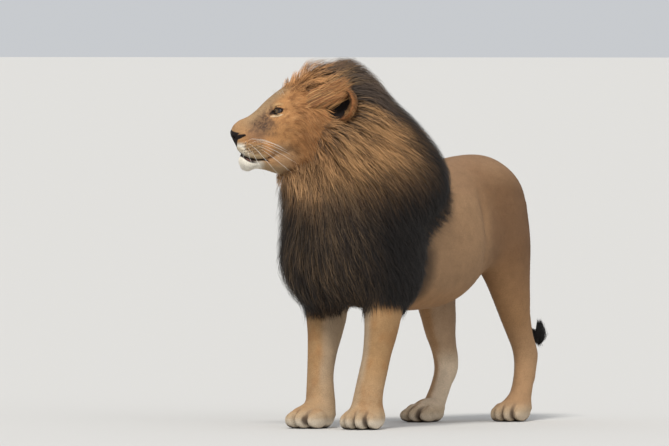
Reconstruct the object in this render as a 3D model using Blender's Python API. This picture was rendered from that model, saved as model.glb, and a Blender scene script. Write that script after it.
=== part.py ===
"""A standing male lion, life size, as closed solids parted where a person would name them."""
import itertools
import math
import bpy
import bmesh
import numpy as np

# ---------------------------------------------------------------- shape field
# Frame: +X to the lion's left, +Y towards its tail, +Z up, metres.
HEAD_AT = (-0.047, -0.57, 1.205)   # midway between the ears
HEAD_YAW = 45.0                    # degrees turned to its own right
HEAD_PITCH = 0.0


def head_axes():
    a, p = math.radians(HEAD_YAW), math.radians(HEAD_PITCH)
    f = np.array((-math.sin(a) * math.cos(p), -math.cos(a) * math.cos(p), math.sin(p)))
    l = np.array((math.cos(a), -math.sin(a), 0.0))
    return f, l, np.cross(f, l)


def spline(table, at, columns):
    """Smooth curves through the rows of a table, read at the values of its first column."""
    t = np.array(table, float)
    t = t[np.argsort(t[:, 0])]
    x, y = t[:, 0], t[:, 1:]
    d = np.diff(y, axis=0) / np.diff(x)[:, None]
    m = np.vstack([d[:1], (d[1:] + d[:-1]) / 2, d[-1:]])
    at = np.clip(at, x[0], x[-1])
    i = np.clip(np.searchsorted(x, at) - 1, 0, len(x) - 2)
    h = x[i + 1] - x[i]
    s = (at - x[i]) / h
    out = []
    for c in range(columns):
        a, b = y[i, c], y[i + 1, c]
        p, q = m[i, c] * h, m[i + 1, c] * h
        out.append(a * (1 + 2 * s) * (1 - s) ** 2 + p * s * (1 - s) ** 2 + b * s * s * (3 - 2 * s) + q * s * s * (s - 1))
    return out


def smin(a, b, k):
    h = np.clip(0.5 + 0.5 * (b - a) / k, 0, 1)
    return b + (a - b) * h - k * h * (1 - h)


def smax(a, b, k):
    return -smin(-a, -b, k)


def turn(axes):
    """Rotation matrix whose columns are the given axes, made square to each other."""
    a = np.array(axes[0], float); a /= np.linalg.norm(a)
    b = np.array(axes[1], float); b -= a * (a @ b); b /= np.linalg.norm(b)
    return np.stack([a, b, np.cross(a, b)], 1)


def ball(P, c, r, R=None):
    q = P - np.array(c, float)
    if R is not None:
        q = q @ R
    r = np.array(r, float)
    a = np.sqrt(((q / r) ** 2).sum(1)) + 1e-9
    b = np.sqrt(((q / r ** 2) ** 2).sum(1)) + 1e-9
    return a * (a - 1) / b


def cone(P, a, b, ra, rb, squash=None):
    P = np.array(P, float); a = np.array(a, float); b = np.array(b, float)
    if squash is not None:
        s = np.array(squash, float); P = P / s; a = a / s; b = b / s
    ab = b - a
    t = np.clip((P - a) @ ab / (ab @ ab), 0, 1)
    return np.sqrt(((P - a - t[:, None] * ab) ** 2).sum(1)) - (ra + (rb - ra) * t)


def limb(P, table):
    """Upright tapering limb. Rows: height, x, y, half depth along Y, half width along X."""
    cx, cy, a, b = spline(table, P[:, 2], 4)
    qx, qy = P[:, 0] - cx, P[:, 1] - cy
    k0 = np.sqrt((qx / b) ** 2 + (qy / a) ** 2) + 1e-9
    k1 = np.sqrt((qx / b ** 2) ** 2 + (qy / a ** 2) ** 2) + 1e-9
    f = k0 * (k0 - 1) / k1
    zs = [r[0] for r in table]
    out = np.maximum(P[:, 2] - max(zs), min(zs) - P[:, 2])
    return np.where(out > 0, np.sqrt(np.maximum(f, 0) ** 2 + out ** 2) + np.minimum(f, 0) * 0.2, f)


# y, back, belly, half width, how much narrower the top is
TRUNK = ((-0.58,0.82,0.64,0.06,0.0),(-0.54,0.90,0.57,0.12,0.0),(-0.47,0.99,0.50,0.170,0.1),(-0.38,1.050,0.465,0.200,0.25),
    (-0.22,1.045,0.445,0.222,0.25),(-0.05,1.016,0.437,0.236,0.18),(0.10,1.012,0.452,0.234,0.14),(0.22,1.022,0.505,0.214,0.10),
    (0.34,1.036,0.60,0.194,0.06),(0.46,1.034,0.66,0.178,0.04),(0.56,0.985,0.68,0.148,0.02),(0.635,0.890,0.73,0.08,0.0))

def trunk(P):
    top, bot, w, nar = spline(TRUNK, P[:, 1], 4)
    c, h = (top + bot) / 2, (top - bot) / 2
    zn = (P[:, 2] - c) / h
    w = w * (1 - nar * np.clip(zn, -1, 1))
    qx, qz = np.abs(P[:, 0]) / w, np.abs(zn)
    n = 2.25
    k0 = (qx ** n + qz ** n) ** (1 / n) + 1e-9
    f = (k0 - 1) * np.minimum(w, h) * (1 - 0.25 * np.clip(qz / k0, 0, 1)* 0)
    y0, y1 = TRUNK[0][0], TRUNK[-1][0]
    out = np.maximum(P[:, 1] - y1, y0 - P[:, 1])
    return np.where(out > 0, np.sqrt(np.maximum(f, 0) ** 2 + out ** 2), f)


HIND = {
    "left": (
        (0.84, 0.118, 0.395, 0.172, 0.070), (0.76, 0.128, 0.398, 0.194, 0.080), (0.68, 0.135, 0.406, 0.182, 0.084), (0.60, 0.140, 0.424, 0.152, 0.079),
        (0.54, 0.145, 0.444, 0.124, 0.071), (0.47, 0.145, 0.472, 0.100, 0.063), (0.40, 0.142, 0.502, 0.079, 0.054),
        (0.33, 0.138, 0.545, 0.067, 0.048), (0.285, 0.136, 0.576, 0.066, 0.045), (0.25, 0.134, 0.590, 0.063, 0.044),
        (0.20, 0.133, 0.586, 0.052, 0.042), (0.14, 0.133, 0.570, 0.048, 0.042), (0.09, 0.134, 0.548, 0.052, 0.046), (0.05, 0.135, 0.530, 0.057, 0.052)),
    "right": (
        (0.84, -0.118, 0.38, 0.165, 0.065), (0.76, -0.128, 0.378, 0.190, 0.078), (0.68, -0.134, 0.372, 0.178, 0.082), (0.60, -0.138, 0.366, 0.150, 0.077),
        (0.54, -0.140, 0.362, 0.130, 0.072), (0.47, -0.139, 0.368, 0.110, 0.066), (0.40, -0.136, 0.384, 0.094, 0.060),
        (0.33, -0.133, 0.396, 0.077, 0.053), (0.285, -0.131, 0.412, 0.067, 0.048), (0.25, -0.130, 0.424, 0.064, 0.046),
        (0.20, -0.128, 0.426, 0.057, 0.045), (0.14, -0.127, 0.390, 0.047, 0.042), (0.09, -0.125, 0.352, 0.046, 0.045), (0.05, -0.123, 0.318, 0.046, 0.050)),
}
FORE = {
    "left": (
        (0.80, 0.130, -0.36, 0.130, 0.060), (0.68, 0.148, -0.39, 0.120, 0.070), (0.58, 0.155, -0.412, 0.110, 0.076), (0.50, 0.155, -0.430, 0.098, 0.073), (0.42, 0.151, -0.450, 0.084, 0.068),
        (0.36, 0.147, -0.458, 0.075, 0.063), (0.28, 0.140, -0.475, 0.062, 0.057), (0.20, 0.133, -0.496, 0.060, 0.057),
        (0.14, 0.128, -0.512, 0.058, 0.058), (0.09, 0.125, -0.520, 0.060, 0.062), (0.05, 0.123, -0.522, 0.062, 0.063)),
    "right": (
        (0.80, -0.130, -0.36, 0.130, 0.060), (0.68, -0.146, -0.385, 0.120, 0.070), (0.58, -0.152, -0.378, 0.118, 0.080), (0.50, -0.150, -0.384, 0.108, 0.078), (0.42, -0.143, -0.394, 0.095, 0.074),
        (0.36, -0.137, -0.412, 0.080, 0.067), (0.28, -0.128, -0.446, 0.063, 0.058), (0.20, -0.121, -0.470, 0.056, 0.053),
        (0.14, -0.117, -0.476, 0.057, 0.056), (0.09, -0.115, -0.478, 0.060, 0.060), (0.05, -0.114, -0.490, 0.062, 0.062)),
}
# centre x, y, half length, half width, turn outwards in degrees
PAWS = {
    "fore_left": (0.124, -0.535, 0.112, 0.080, 6.0),
    "fore_right": (-0.116, -0.540, 0.114, 0.084, 10.0),
    "hind_left": (0.136, 0.492, 0.104, 0.070, 5.0),
    "hind_right": (-0.121, 0.252, 0.108, 0.073, 8.0),
}


TALL = {"fore_left": 1.0, "fore_right": 1.0, "hind_left": 0.94, "hind_right": 0.82}    # height of each foot


def paw_axes(name):
    x, y, a, b, out = PAWS[name]
    s = 1 if name.endswith("left") else -1
    t = math.radians(out)
    f = np.array((s * math.sin(t), -math.cos(t), 0.0))
    return np.array((x, y, 0.0)), f, np.array((math.cos(t), s * math.sin(t), 0.0))


def toes(name):
    """Centres (forward, side, height) and half sizes of the four toes."""
    x, y, a, b, out = PAWS[name]
    s = 1 if name.endswith("left") else -1
    found = []
    for i, (side, ahead, lift) in enumerate(((-0.74, 0.30, 0.0), (-0.27, 0.56, 0.004), (0.24, 0.55, 0.004), (0.72, 0.26, 0.0))):
        t = TALL[name]
        found.append(((ahead * a, s * side * b, (0.031 + lift) * t), (0.44 * a, 0.27 * b, (0.034 + lift) * t)))
    return found


def paw(P, name):
    x, y, a, b, out = PAWS[name]
    o, f, l = paw_axes(name)
    Q = P - o
    q = np.stack([Q @ f, Q @ l, Q[:, 2]], 1)
    h = TALL[name]
    d = ball(q, (-0.10 * a, 0, 0.038 * h), (0.78 * a, 0.86 * b, 0.050 * h))
    d = smin(d, ball(q, (-0.28 * a, 0, 0.06 * h), (0.55 * a, 0.66 * b, 0.055 * h)), 0.03)
    d = smin(d, ball(q, (0.18 * a, 0, 0.052 * h * h), (0.50 * a, 0.62 * b, 0.034 * h)), 0.025)
    t = None
    for c, r in toes(name):
        one = ball(q, c, r)
        one = smin(one, ball(q, (c[0] - 0.14 * a, c[1] * 0.96, c[2] + 0.016), (0.20 * a, r[1] * 0.86, 0.026)), 0.018)
        t = one if t is None else smin(t, one, 0.006)
    return smin(d, t, 0.012)


EYE_AT = (0.1755, 0.0475, 0.004)
EYE_R = 0.0185
EYE_LOOK = (0.80, 0.60, 0.04)


def to_head(P):
    f, l, u = head_axes()
    Q = P - np.array(HEAD_AT)
    return np.stack([Q @ f, Q @ l, Q @ u], 1)


# forward, top line, lower line, half widths from the lower line up to the top line
SKULL = ((-0.170, 0.030, -0.080, 0.050, 0.060, 0.060, 0.058, 0.056),
         (-0.120, 0.105, -0.150, 0.080, 0.100, 0.100, 0.094, 0.080),
         (-0.060, 0.128, -0.185, 0.085, 0.112, 0.115, 0.108, 0.088),
         (0.000, 0.134, -0.195, 0.084, 0.116, 0.120, 0.110, 0.086),
         (0.060, 0.126, -0.198, 0.080, 0.112, 0.122, 0.108, 0.086),
         (0.110, 0.114, -0.198, 0.074, 0.098, 0.116, 0.100, 0.084),
         (0.150, 0.096, -0.195, 0.068, 0.084, 0.098, 0.086, 0.074),
         (0.185, 0.073, -0.187, 0.060, 0.073, 0.078, 0.068, 0.060),
         (0.220, 0.044, -0.182, 0.052, 0.067, 0.063, 0.052, 0.046),
         (0.255, 0.009, -0.179, 0.050, 0.066, 0.058, 0.044, 0.040),
         (0.285, -0.014, -0.175, 0.046, 0.063, 0.055, 0.041, 0.037),
         (0.306, -0.024, -0.166, 0.038, 0.055, 0.048, 0.039, 0.036),
         (0.320, -0.030, -0.150, 0.024, 0.040, 0.038, 0.037, 0.034),
         (0.331, -0.038, -0.130, 0.013, 0.027, 0.031, 0.034, 0.032),
         (0.343, -0.050, -0.108, 0.009, 0.022, 0.027, 0.030, 0.028),
         (0.351, -0.066, -0.092, 0.004, 0.012, 0.015, 0.018, 0.016))
JAW = ((-0.060, -0.120, -0.185, 0.040, 0.080, 0.080, 0.050),
       (0.020, -0.120, -0.222, 0.050, 0.090, 0.095, 0.060),
       (0.100, -0.130, -0.236, 0.050, 0.078, 0.085, 0.060),
       (0.170, -0.150, -0.236, 0.040, 0.062, 0.067, 0.050),
       (0.225, -0.165, -0.221, 0.034, 0.048, 0.053, 0.046),
       (0.262, -0.168, -0.217, 0.034, 0.050, 0.053, 0.046),
       (0.290, -0.164, -0.225, 0.030, 0.046, 0.047, 0.040),
       (0.304, -0.158, -0.221, 0.024, 0.039, 0.040, 0.033),
       (0.313, -0.160, -0.215, 0.014, 0.028, 0.029, 0.023),
       (0.319, -0.170, -0.202, 0.004, 0.012, 0.013, 0.010))


def loft(q, table, n):
    """A body whose sections across its length are given: top line, lower line, and half widths by height."""
    cols = spline(table, q[:, 0], len(table[0]) - 1)
    top, low, W = cols[0], cols[1], np.stack(cols[2:], 1)
    c, h = (top + low) / 2, np.maximum((top - low) / 2, 0.004)
    zn = (q[:, 2] - c) / h
    m = W.shape[1]
    at = np.clip((zn + 1) / 2 * (m - 1), 0, m - 1 - 1e-6)
    i = at.astype(int); s = at - i; s = s * s * (3 - 2 * s)
    r = np.arange(len(q))
    w = np.maximum(W[r, i] * (1 - s) + W[r, i + 1] * s, 0.002)
    a, b = np.abs(q[:, 1]) / w, np.abs(zn)
    k0 = (a ** n + b ** n) ** (1 / n) + 1e-9
    g = np.sqrt((a ** (n - 1) / w) ** 2 + (b ** (n - 1) / h) ** 2) / k0 ** (n - 1) + 1e-6
    f = (k0 - 1) / g
    y0, y1 = table[0][0], table[-1][0]
    out = np.maximum(q[:, 0] - y1, y0 - q[:, 0])
    return np.where(out > 0, np.sqrt(np.maximum(f, 0) ** 2 + out ** 2), f)


def head_local(q):
    """The head without its mane: q is forward, side (either), up from midway between the ears."""
    q = np.stack([q[:, 0], np.abs(q[:, 1]), q[:, 2]], 1)
    d = loft(q, SKULL, 2.2)
    # jaw muscle, cheek bone, brow
    d = smin(d, ball(q, (0.040, 0.086, -0.100), (0.090, 0.042, 0.085)), 0.035)
    d = smin(d, ball(q, (0.132, 0.070, -0.036), (0.062, 0.026, 0.024), turn(((0.90, -0.42, -0.10), (0.38, 0.92, 0)))), 0.03)
    d = smin(d, ball(q, (0.172, 0.046, 0.034), (0.032, 0.019, 0.012), turn(((0.80, 0.30, -0.50), (-0.3, 0.95, 0)))), 0.016)
    # hollow for the eye, and the groove from its inner corner
    d = smax(d, -ball(q, (0.200, 0.066, 0.006), (0.028, 0.020, 0.019), turn(((0.80, -0.60, 0), (0.6, 0.8, 0)))), 0.020)
    # upper lip pads
    d = smin(d, ball(q, (0.281, 0.032, -0.131), (0.044, 0.030, 0.033), turn(((0.96, -0.28, 0.10), (0.28, 0.96, 0)))), 0.014)
    d = smin(d, ball(q, (0.245, 0.046, -0.146), (0.050, 0.022, 0.032)), 0.02)
    # wings of the nose
    d = smin(d, ball(q, (0.322, 0.025, -0.082), (0.024, 0.013, 0.014), turn(((0.93, -0.30, 0.16), (0.30, 0.95, 0)))), 0.008)
    low = loft(q, JAW, 2.2)
    return smin(d, low, np.interp(q[:, 0], (0.12, 0.21), (0.045, 0.004)))


def ear_axes():
    """Middle of the ear's opening, and its axes: out of the opening, along its height, across."""
    out = np.array((0.74, 0.66, 0.14)); up = np.array((-0.34, 0.16, 0.93))
    R = turn((out, up))
    return np.array((-0.050, 0.128, 0.030)), R


def ear_hollow(q):
    q = np.stack([q[:, 0], np.abs(q[:, 1]), q[:, 2]], 1)
    c, R = ear_axes()
    e = (q - c) @ R
    return ball(e, (0.012, -0.004, 0.0), (0.044, 0.052, 0.044))


def ear_local(q):
    q = np.stack([q[:, 0], np.abs(q[:, 1]), q[:, 2]], 1)
    c, R = ear_axes()
    e = (q - c) @ R
    shell = ball(e, (-0.012, 0, 0), (0.042, 0.061, 0.054))
    hollow = ball(e, (0.012, -0.004, 0.0), (0.044, 0.052, 0.044))
    d = smax(shell, -hollow, 0.005)
    root = cone(q, (-0.040, 0.085, -0.012), (-0.055, 0.112, 0.012), 0.042, 0.034)
    return smax(smin(d, root, 0.01), -hollow, 0.008)


def head(P):
    return head_local(to_head(P))


def mane(P):
    f, l, u = head_axes()
    R = np.stack([f, l, u], 1)
    c = np.array(HEAD_AT)
    at = lambda a, b, z: c + a * f + b * l + z * u
    d = ball(P, at(0.015, 0, 0.085), (0.105, 0.100, 0.127), R)           # crest between the ears
    d = smin(d, ball(P, at(0.090, 0, 0.080), (0.072, 0.066, 0.070), R), 0.03)
    d = smin(d, ball(P, at(-0.090, 0, 0.062), (0.112, 0.115, 0.145), R), 0.03)
    d = smin(d, ball(P, at(-0.140, 0, -0.012), (0.125, 0.160, 0.158), R), 0.05)   # nape behind the ears
    d = smin(d, ball(P, at(-0.045, 0, -0.115), (0.125, 0.185, 0.135), R), 0.05)  # ruff under the ears
    d = smin(d, ball(P, at(0.030, 0, -0.255), (0.150, 0.130, 0.110), R), 0.05)   # beard
    d = smin(d, ball(P, (0.000, -0.400, 1.035), (0.250, 0.272, 0.248)), 0.07)      # neck
    d = smin(d, ball(P, (0.000, -0.33, 0.935), (0.310, 0.330, 0.240)), 0.08)     # shoulders
    d = smin(d, ball(P, (-0.018, -0.445, 0.80), (0.257, 0.252, 0.250)), 0.07)     # chest
    d = smin(d, ball(P, (-0.010, -0.40, 0.68), (0.270, 0.260, 0.215)), 0.07)
    for s, x, y in ((-1, -0.125, -0.43), (1, 0.135, -0.40)):                     # its lower edge over each elbow
        d = smin(d, ball(P, (x, y, 0.60), (0.130, 0.165, 0.165)), 0.04)
    d = smin(d, ball(P, (-0.110, -0.485, 0.640), (0.150, 0.170, 0.165)), 0.05)
    q = to_head(P)
    q[:, 1] = np.abs(q[:, 1])
    return smax(d, -ball(q, (-0.015, 0.172, 0.045), (0.080, 0.072, 0.074)), 0.03)    # room for the ears


def tail_line():
    return ((0.0, 0.560, 0.930), (0.0, 0.645, 0.890), (-0.004, 0.697, 0.790), (-0.006, 0.717, 0.650), (0.012, 0.726, 0.510),
            (0.044, 0.730, 0.398), (0.074, 0.738, 0.326), (0.100, 0.744, 0.298))


def smooth_line(pts, n):
    pts = np.array(pts, float)
    s = np.arange(len(pts), dtype=float)
    tab = np.column_stack([s, pts])
    at = np.linspace(0, len(pts) - 1, n)
    return np.stack(spline(tab, at, pts.shape[1]), 1)


def tail(P):
    line = smooth_line(tail_line(), 20)
    d = None
    for i in range(len(line) - 1):
        s0, s1 = i / 19, (i + 1) / 19
        r = lambda s: 0.040 - 0.022 * min(1, s * 2.2) - 0.004 * s
        one = cone(P, line[i], line[i + 1], r(s0), r(s1))
        d = one if d is None else np.minimum(d, one)
    return d


def tuft(P):
    d = cone(P, (0.078, 0.736, 0.304), (0.106, 0.746, 0.308), 0.016, 0.026)
    d = smin(d, cone(P, (0.106, 0.746, 0.308), (0.111, 0.752, 0.354), 0.027, 0.027), 0.01)
    return smin(d, cone(P, (0.111, 0.752, 0.354), (0.096, 0.752, 0.406), 0.026, 0.012), 0.01)


def body(P, with_mane=True, with_head=True):
    d = trunk(P)
    for s in (1, -1):
        # haunch and shoulder muscle
        d = smin(d, ball(P, (s * 0.105, 0.40, 0.82), (0.085, 0.170, 0.150)), 0.05)
        d = smin(d, ball(P, (s * 0.130, -0.33, 0.80), (0.085, 0.130, 0.230)), 0.05)
    for side in ("left", "right"):
        d = smin(d, limb(P, HIND[side]), 0.035)
        d = smin(d, limb(P, FORE[side]), 0.035)
        s = 1 if side == "left" else -1
        # point of the hock and the heel cord
        z = HIND[side]
        hx, hy = z[9][1], z[9][2]
        d = smin(d, cone(P, (hx, hy + 0.038, 0.262), (hx, hy + 0.014, 0.17), 0.021, 0.028), 0.02)
        d = smin(d, cone(P, (hx, hy + 0.040, 0.265), (hx * 1.02, hy - 0.025, 0.44), 0.017, 0.030), 0.02)
        # elbow and wrist
        e = FORE[side]
        d = smin(d, ball(P, (e[3][1], e[3][2] + 0.07, 0.50), (0.04, 0.045, 0.07)), 0.03)
        # skin fold from knee to flank
        d = smin(d, ball(P, (s * 0.160, 0.235, 0.70), (0.035, 0.075, 0.09)), 0.05)
    # neck
    c = np.array(HEAD_AT)
    d = smin(d, cone(P, c + (0, 0.03, -0.05), (0, -0.34, 0.84), 0.125, 0.185), 0.08)
    if with_head:
        d = smin(d, head(P), 0.018)
    for name in PAWS:
        d = smin(d, paw(P, name), 0.022)
    if with_mane:
        d = smin(d, mane(P), 0.02)
    d = smin(d, ball(P, (0, 0.53, 0.79), (0.07, 0.085, 0.12)), 0.04)
    d = smin(d, smin(tail(P), tuft(P), 0.004), 0.02)
    return smax(d, 0.001 - P[:, 2], 0.004)


# ---------------------------------------------------------------- surface of a field
def read_field(fn, P):
    out = np.empty(len(P))
    for s in range(0, len(P), 300000):
        out[s:s + 300000] = fn(P[s:s + 300000])
    return out


def grid_field(fn, lo, hi, step, levels=3):
    """Reads fn on a grid: all of it coarsely, then at each halving only near the surface."""
    lo, hi = np.array(lo, float), np.array(hi, float)
    K = 2 ** levels
    n = np.ceil((hi - lo) / (step * K)).astype(int) + 1
    ax = [lo[i] + np.arange(n[i]) * step * K for i in range(3)]
    G = np.stack(np.meshgrid(*ax, indexing="ij"), -1).reshape(-1, 3)
    F = read_field(fn, G).reshape(n).astype(np.float32)
    for level in range(levels):
        K //= 2
        for a in range(3):
            m = F.shape[a]
            shape = list(F.shape)
            shape[a] = 2 * m - 1
            new = np.empty(shape, np.float32)
            at = [slice(None)] * 3
            at[a] = slice(0, None, 2)
            new[tuple(at)] = F
            mid, one, two = list(at), [slice(None)] * 3, [slice(None)] * 3
            mid[a], one[a], two[a] = slice(1, None, 2), slice(0, m - 1), slice(1, m)
            new[tuple(mid)] = (F[tuple(one)] + F[tuple(two)]) / 2
            F = new
        near = np.abs(F) < step * K * (1.9 if K > 1 else 1.5)
        at = np.argwhere(near)
        F[near] = read_field(fn, lo + at * (step * K))
    return F


def nets(F, lo, step):
    """One corner in every grid cell the surface passes through, one face on every grid edge it crosses."""
    lo = np.array(lo, float)
    inside = F < 0
    cell = np.array(F.shape) - 1
    total = np.zeros(tuple(cell) + (3,), np.float32)
    count = np.zeros(tuple(cell), np.uint8)
    crossing = []
    for a in range(3):
        one, two = [slice(None)] * 3, [slice(None)] * 3
        one[a], two[a] = slice(0, -1), slice(1, None)
        A, B = F[tuple(one)], F[tuple(two)]
        cross = inside[tuple(one)] != inside[tuple(two)]
        at = np.argwhere(cross)
        t = A[cross] / (A[cross] - B[cross])
        pos = at.astype(np.float32)
        pos[:, a] += t
        crossing.append((at, inside[tuple(one)][cross]))
        b, c = [k for k in range(3) if k != a]
        for db in (0, -1):
            for dc in (0, -1):
                w = at.copy()
                w[:, b] += db
                w[:, c] += dc
                ok = ((w >= 0) & (w < cell)).all(1)
                w = w[ok]
                np.add.at(total, (w[:, 0], w[:, 1], w[:, 2]), pos[ok])
                np.add.at(count, (w[:, 0], w[:, 1], w[:, 2]), 1)
    live = count > 0
    number = np.full(tuple(cell), -1, np.int64)
    number[live] = np.arange(live.sum())
    pts = total[live] / count[live][:, None] * step + lo
    faces = []
    for a, (at, was_in) in enumerate(crossing):
        b, c = [k for k in range(3) if k != a]
        quad = []
        for db, dc in ((-1, -1), (0, -1), (0, 0), (-1, 0)):
            w = at.copy()
            w[:, b] += db
            w[:, c] += dc
            w = np.clip(w, 0, cell - 1)
            quad.append(number[w[:, 0], w[:, 1], w[:, 2]])
        quad = np.stack(quad, 1)
        flip = was_in if a != 1 else ~was_in
        quad[~flip] = quad[~flip][:, ::-1]
        faces.append(quad)
    faces = np.concatenate(faces)
    return pts, faces[(faces >= 0).all(1)]


def gradient(fn, P, h=0.0008):
    g = np.empty_like(P)
    for a in range(3):
        e = np.zeros(3)
        e[a] = h
        g[:, a] = (read_field(fn, P + e) - read_field(fn, P - e)) / (2 * h)
    return g


def surface(fn, lo, hi, step, levels=3, settle=0):
    pts, quads = nets(grid_field(fn, lo, hi, step, levels), lo, step)
    for k in range(settle):
        g = gradient(fn, pts)
        d = read_field(fn, pts) / np.maximum((g * g).sum(1), 0.05)
        pts = pts - np.clip(d, -step, step)[:, None] * g
    return pts, quads


# ---------------------------------------------------------------- Blender side
LOW, HIGH = (-0.42, -0.98, -0.03), (0.42, 0.92, 1.50)
GAP = 0.0003                        # clear space at every parting
SKIN_STEP = 0.010                   # spacing of the first, fine surface
BODY_TRIS = 5500                    # triangles left in the whole body
EAR_TRIS = 420


def clear():
    for o in list(bpy.data.objects):
        bpy.data.objects.remove(o, do_unlink=True)


def tets(F, lo, step):
    """The surface through every cell of the grid cut into six tetrahedra: always closed, never pinched."""
    F = np.where(np.abs(F) < step * 0.02, np.where(F < 0, -step * 0.02, step * 0.02), F)
    inside = F < 0
    n = np.array(F.shape)
    some, every = None, None
    for c in itertools.product((0, 1), repeat=3):
        part = inside[c[0]:n[0] - 1 + c[0], c[1]:n[1] - 1 + c[1], c[2]:n[2] - 1 + c[2]]
        some = part if some is None else some | part
        every = part if every is None else every & part
    cells = np.argwhere(some & ~every)
    stride = np.array((n[1] * n[2], n[2], 1))
    base = cells @ stride
    flat = F.ravel()
    corners = []
    for order in itertools.permutations(range(3)):
        p1 = base + stride[order[0]]
        p2 = p1 + stride[order[1]]
        even = order in ((0, 1, 2), (1, 2, 0), (2, 0, 1))
        corners.append(np.stack([base, p1, p2, p2 + stride[order[2]]] if even else [base, p2, p1, p2 + stride[order[2]]], 1))
    T = np.concatenate(corners)
    code = (flat[T] < 0) @ np.array((1, 2, 4, 8))
    found = []
    for c in range(1, 15):
        t = T[code == c]
        if not len(t):
            continue
        inn = [k for k in range(4) if c >> k & 1]
        out = [k for k in range(4) if not c >> k & 1]
        flip = len(inn) == 3
        p = (out + inn) if flip else (inn + out)
        odd = sum(p[x] > p[y] for x in range(4) for y in range(x + 1, 4)) % 2
        if odd:
            p[2], p[3] = p[3], p[2]
        a, b, c_, d = p
        if len(inn) == 2:
            tri = [((a, c_), (a, d), (b, d)), ((a, c_), (b, d), (b, c_))]
        else:
            tri = [((a, b), (a, c_), (a, d))]
        for q in tri:
            if flip:
                q = q[::-1]
            found.append(np.stack([np.stack([t[:, x], t[:, y]], 1) for x, y in q], 1))
    E = np.concatenate(found).reshape(-1, 2)
    E.sort(axis=1)
    key, back = np.unique(E[:, 0] * int(n.prod()) + E[:, 1], return_inverse=True)
    a, b = key // int(n.prod()), key % int(n.prod())
    where = lambda k: np.stack([k // stride[0], k // n[2] % n[1], k % n[2]], 1).astype(float)
    t = (flat[a] / (flat[a] - flat[b]))[:, None]
    pts = (where(a) * (1 - t) + where(b) * t) * step + np.array(lo, float)
    return pts, back.reshape(-1, 3)


def closed_surface(fn, lo, hi, step, levels):
    return tets(grid_field(fn, lo, hi, step, levels), lo, step)


def material(name, colour, rough, metal=0.0):
    m = bpy.data.materials.new(name)
    m.use_nodes = True
    b = m.node_tree.nodes["Principled BSDF"]
    b.inputs["Base Color"].default_value = (*colour, 1.0)
    b.inputs["Roughness"].default_value = rough
    b.inputs["Metallic"].default_value = metal
    return m


def add(name, pts, faces):
    me = bpy.data.meshes.new(name)
    me.from_pydata([tuple(p) for p in pts], [], [tuple(int(i) for i in f) for f in faces])
    me.update()
    o = bpy.data.objects.new(name, me)
    bpy.context.scene.collection.objects.link(o)
    return o


def bake(o):
    """Turns the object's modifiers into its mesh."""
    bpy.context.view_layer.update()
    me = bpy.data.meshes.new_from_object(o.evaluated_get(bpy.context.evaluated_depsgraph_get()))
    o.modifiers.clear()
    old = o.data
    o.data = me
    bpy.data.meshes.remove(old)
    return o


def tidy(o):
    bm = bmesh.new()
    bm.from_mesh(o.data)
    bmesh.ops.triangulate(bm, faces=bm.faces)
    loose = [v for v in bm.verts if not v.link_faces]
    bmesh.ops.delete(bm, geom=loose, context="VERTS")
    bm.to_mesh(o.data)
    bm.free()
    return o


def thin(o, tris, weights=None):
    now = sum(len(p.vertices) - 2 for p in o.data.polygons)
    m = o.modifiers.new("thin", "DECIMATE")
    m.decimate_type = "COLLAPSE"
    m.ratio = tris / now
    m.use_collapse_triangulate = True
    if weights is not None:
        g = o.vertex_groups.new(name="detail")
        for level in np.unique(weights):
            g.add([int(i) for i in np.nonzero(weights == level)[0]], float(level), "REPLACE")
        m.vertex_group = "detail"
        m.vertex_group_factor = 1.0
        m.invert_vertex_group = True
    bake(o)
    return tidy(o)


def boolean(o, cutter, operation):
    m = o.modifiers.new("cut", "BOOLEAN")
    m.operation = operation
    m.solver = "EXACT"
    m.object = cutter
    bake(o)
    return tidy(o)


def block(name, centre, half, axes=None, grow=0.0):
    """A box: its middle, its half sizes and, if it is turned, its three axes as columns."""
    R = np.eye(3) if axes is None else np.array(axes)
    h = np.array(half) + grow
    pts = [np.array(centre) + R @ (np.array(s) * h) for s in
           ((-1, -1, -1), (1, -1, -1), (1, 1, -1), (-1, 1, -1), (-1, -1, 1), (1, -1, 1), (1, 1, 1), (-1, 1, 1))]
    faces = ((0, 3, 2, 1), (4, 5, 6, 7), (0, 1, 5, 4), (1, 2, 6, 5), (2, 3, 7, 6), (3, 0, 4, 7))
    return add(name, pts, faces)


def prism(name, profile, across, axes=None, origin=(0.0, 0.0, 0.0), grow=0.0):
    """A straight bar on a convex profile, given anticlockwise in the axes' first two
    directions and reaching between the two distances in their third."""
    R = np.eye(3) if axes is None else np.array(axes)
    p = np.array(profile, float)
    n = len(p)
    out = []
    for i in range(n):
        a, b, c = p[i - 1], p[i], p[(i + 1) % n]
        u, v = (b - a) / np.linalg.norm(b - a), (c - b) / np.linalg.norm(c - b)
        nu, nv = np.array((u[1], -u[0])), np.array((v[1], -v[0]))
        out.append(b + (nu + nv) * grow / (1 + nu @ nv))
    pts = [np.array(origin) + R @ np.array((x, y, z)) for z in (across[0] - grow, across[1] + grow) for x, y in out]
    faces = [tuple(reversed(range(n))), tuple(range(n, 2 * n))]
    faces += [(i, (i + 1) % n, n + (i + 1) % n, n + i) for i in range(n)]
    return add(name, pts, faces)


def copy_of(o, name):
    c = bpy.data.objects.new(name, o.data.copy())
    bpy.context.scene.collection.objects.link(c)
    return c


def take(rest, name, region):
    """Parts the piece inside the region from the rest, leaving the gap all round it."""
    piece = copy_of(rest, name)
    cutter = region(0.0)
    boolean(piece, cutter, "INTERSECT")
    bpy.data.objects.remove(cutter)
    cutter = region(GAP)
    boolean(rest, cutter, "DIFFERENCE")
    bpy.data.objects.remove(cutter)
    return piece


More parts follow.
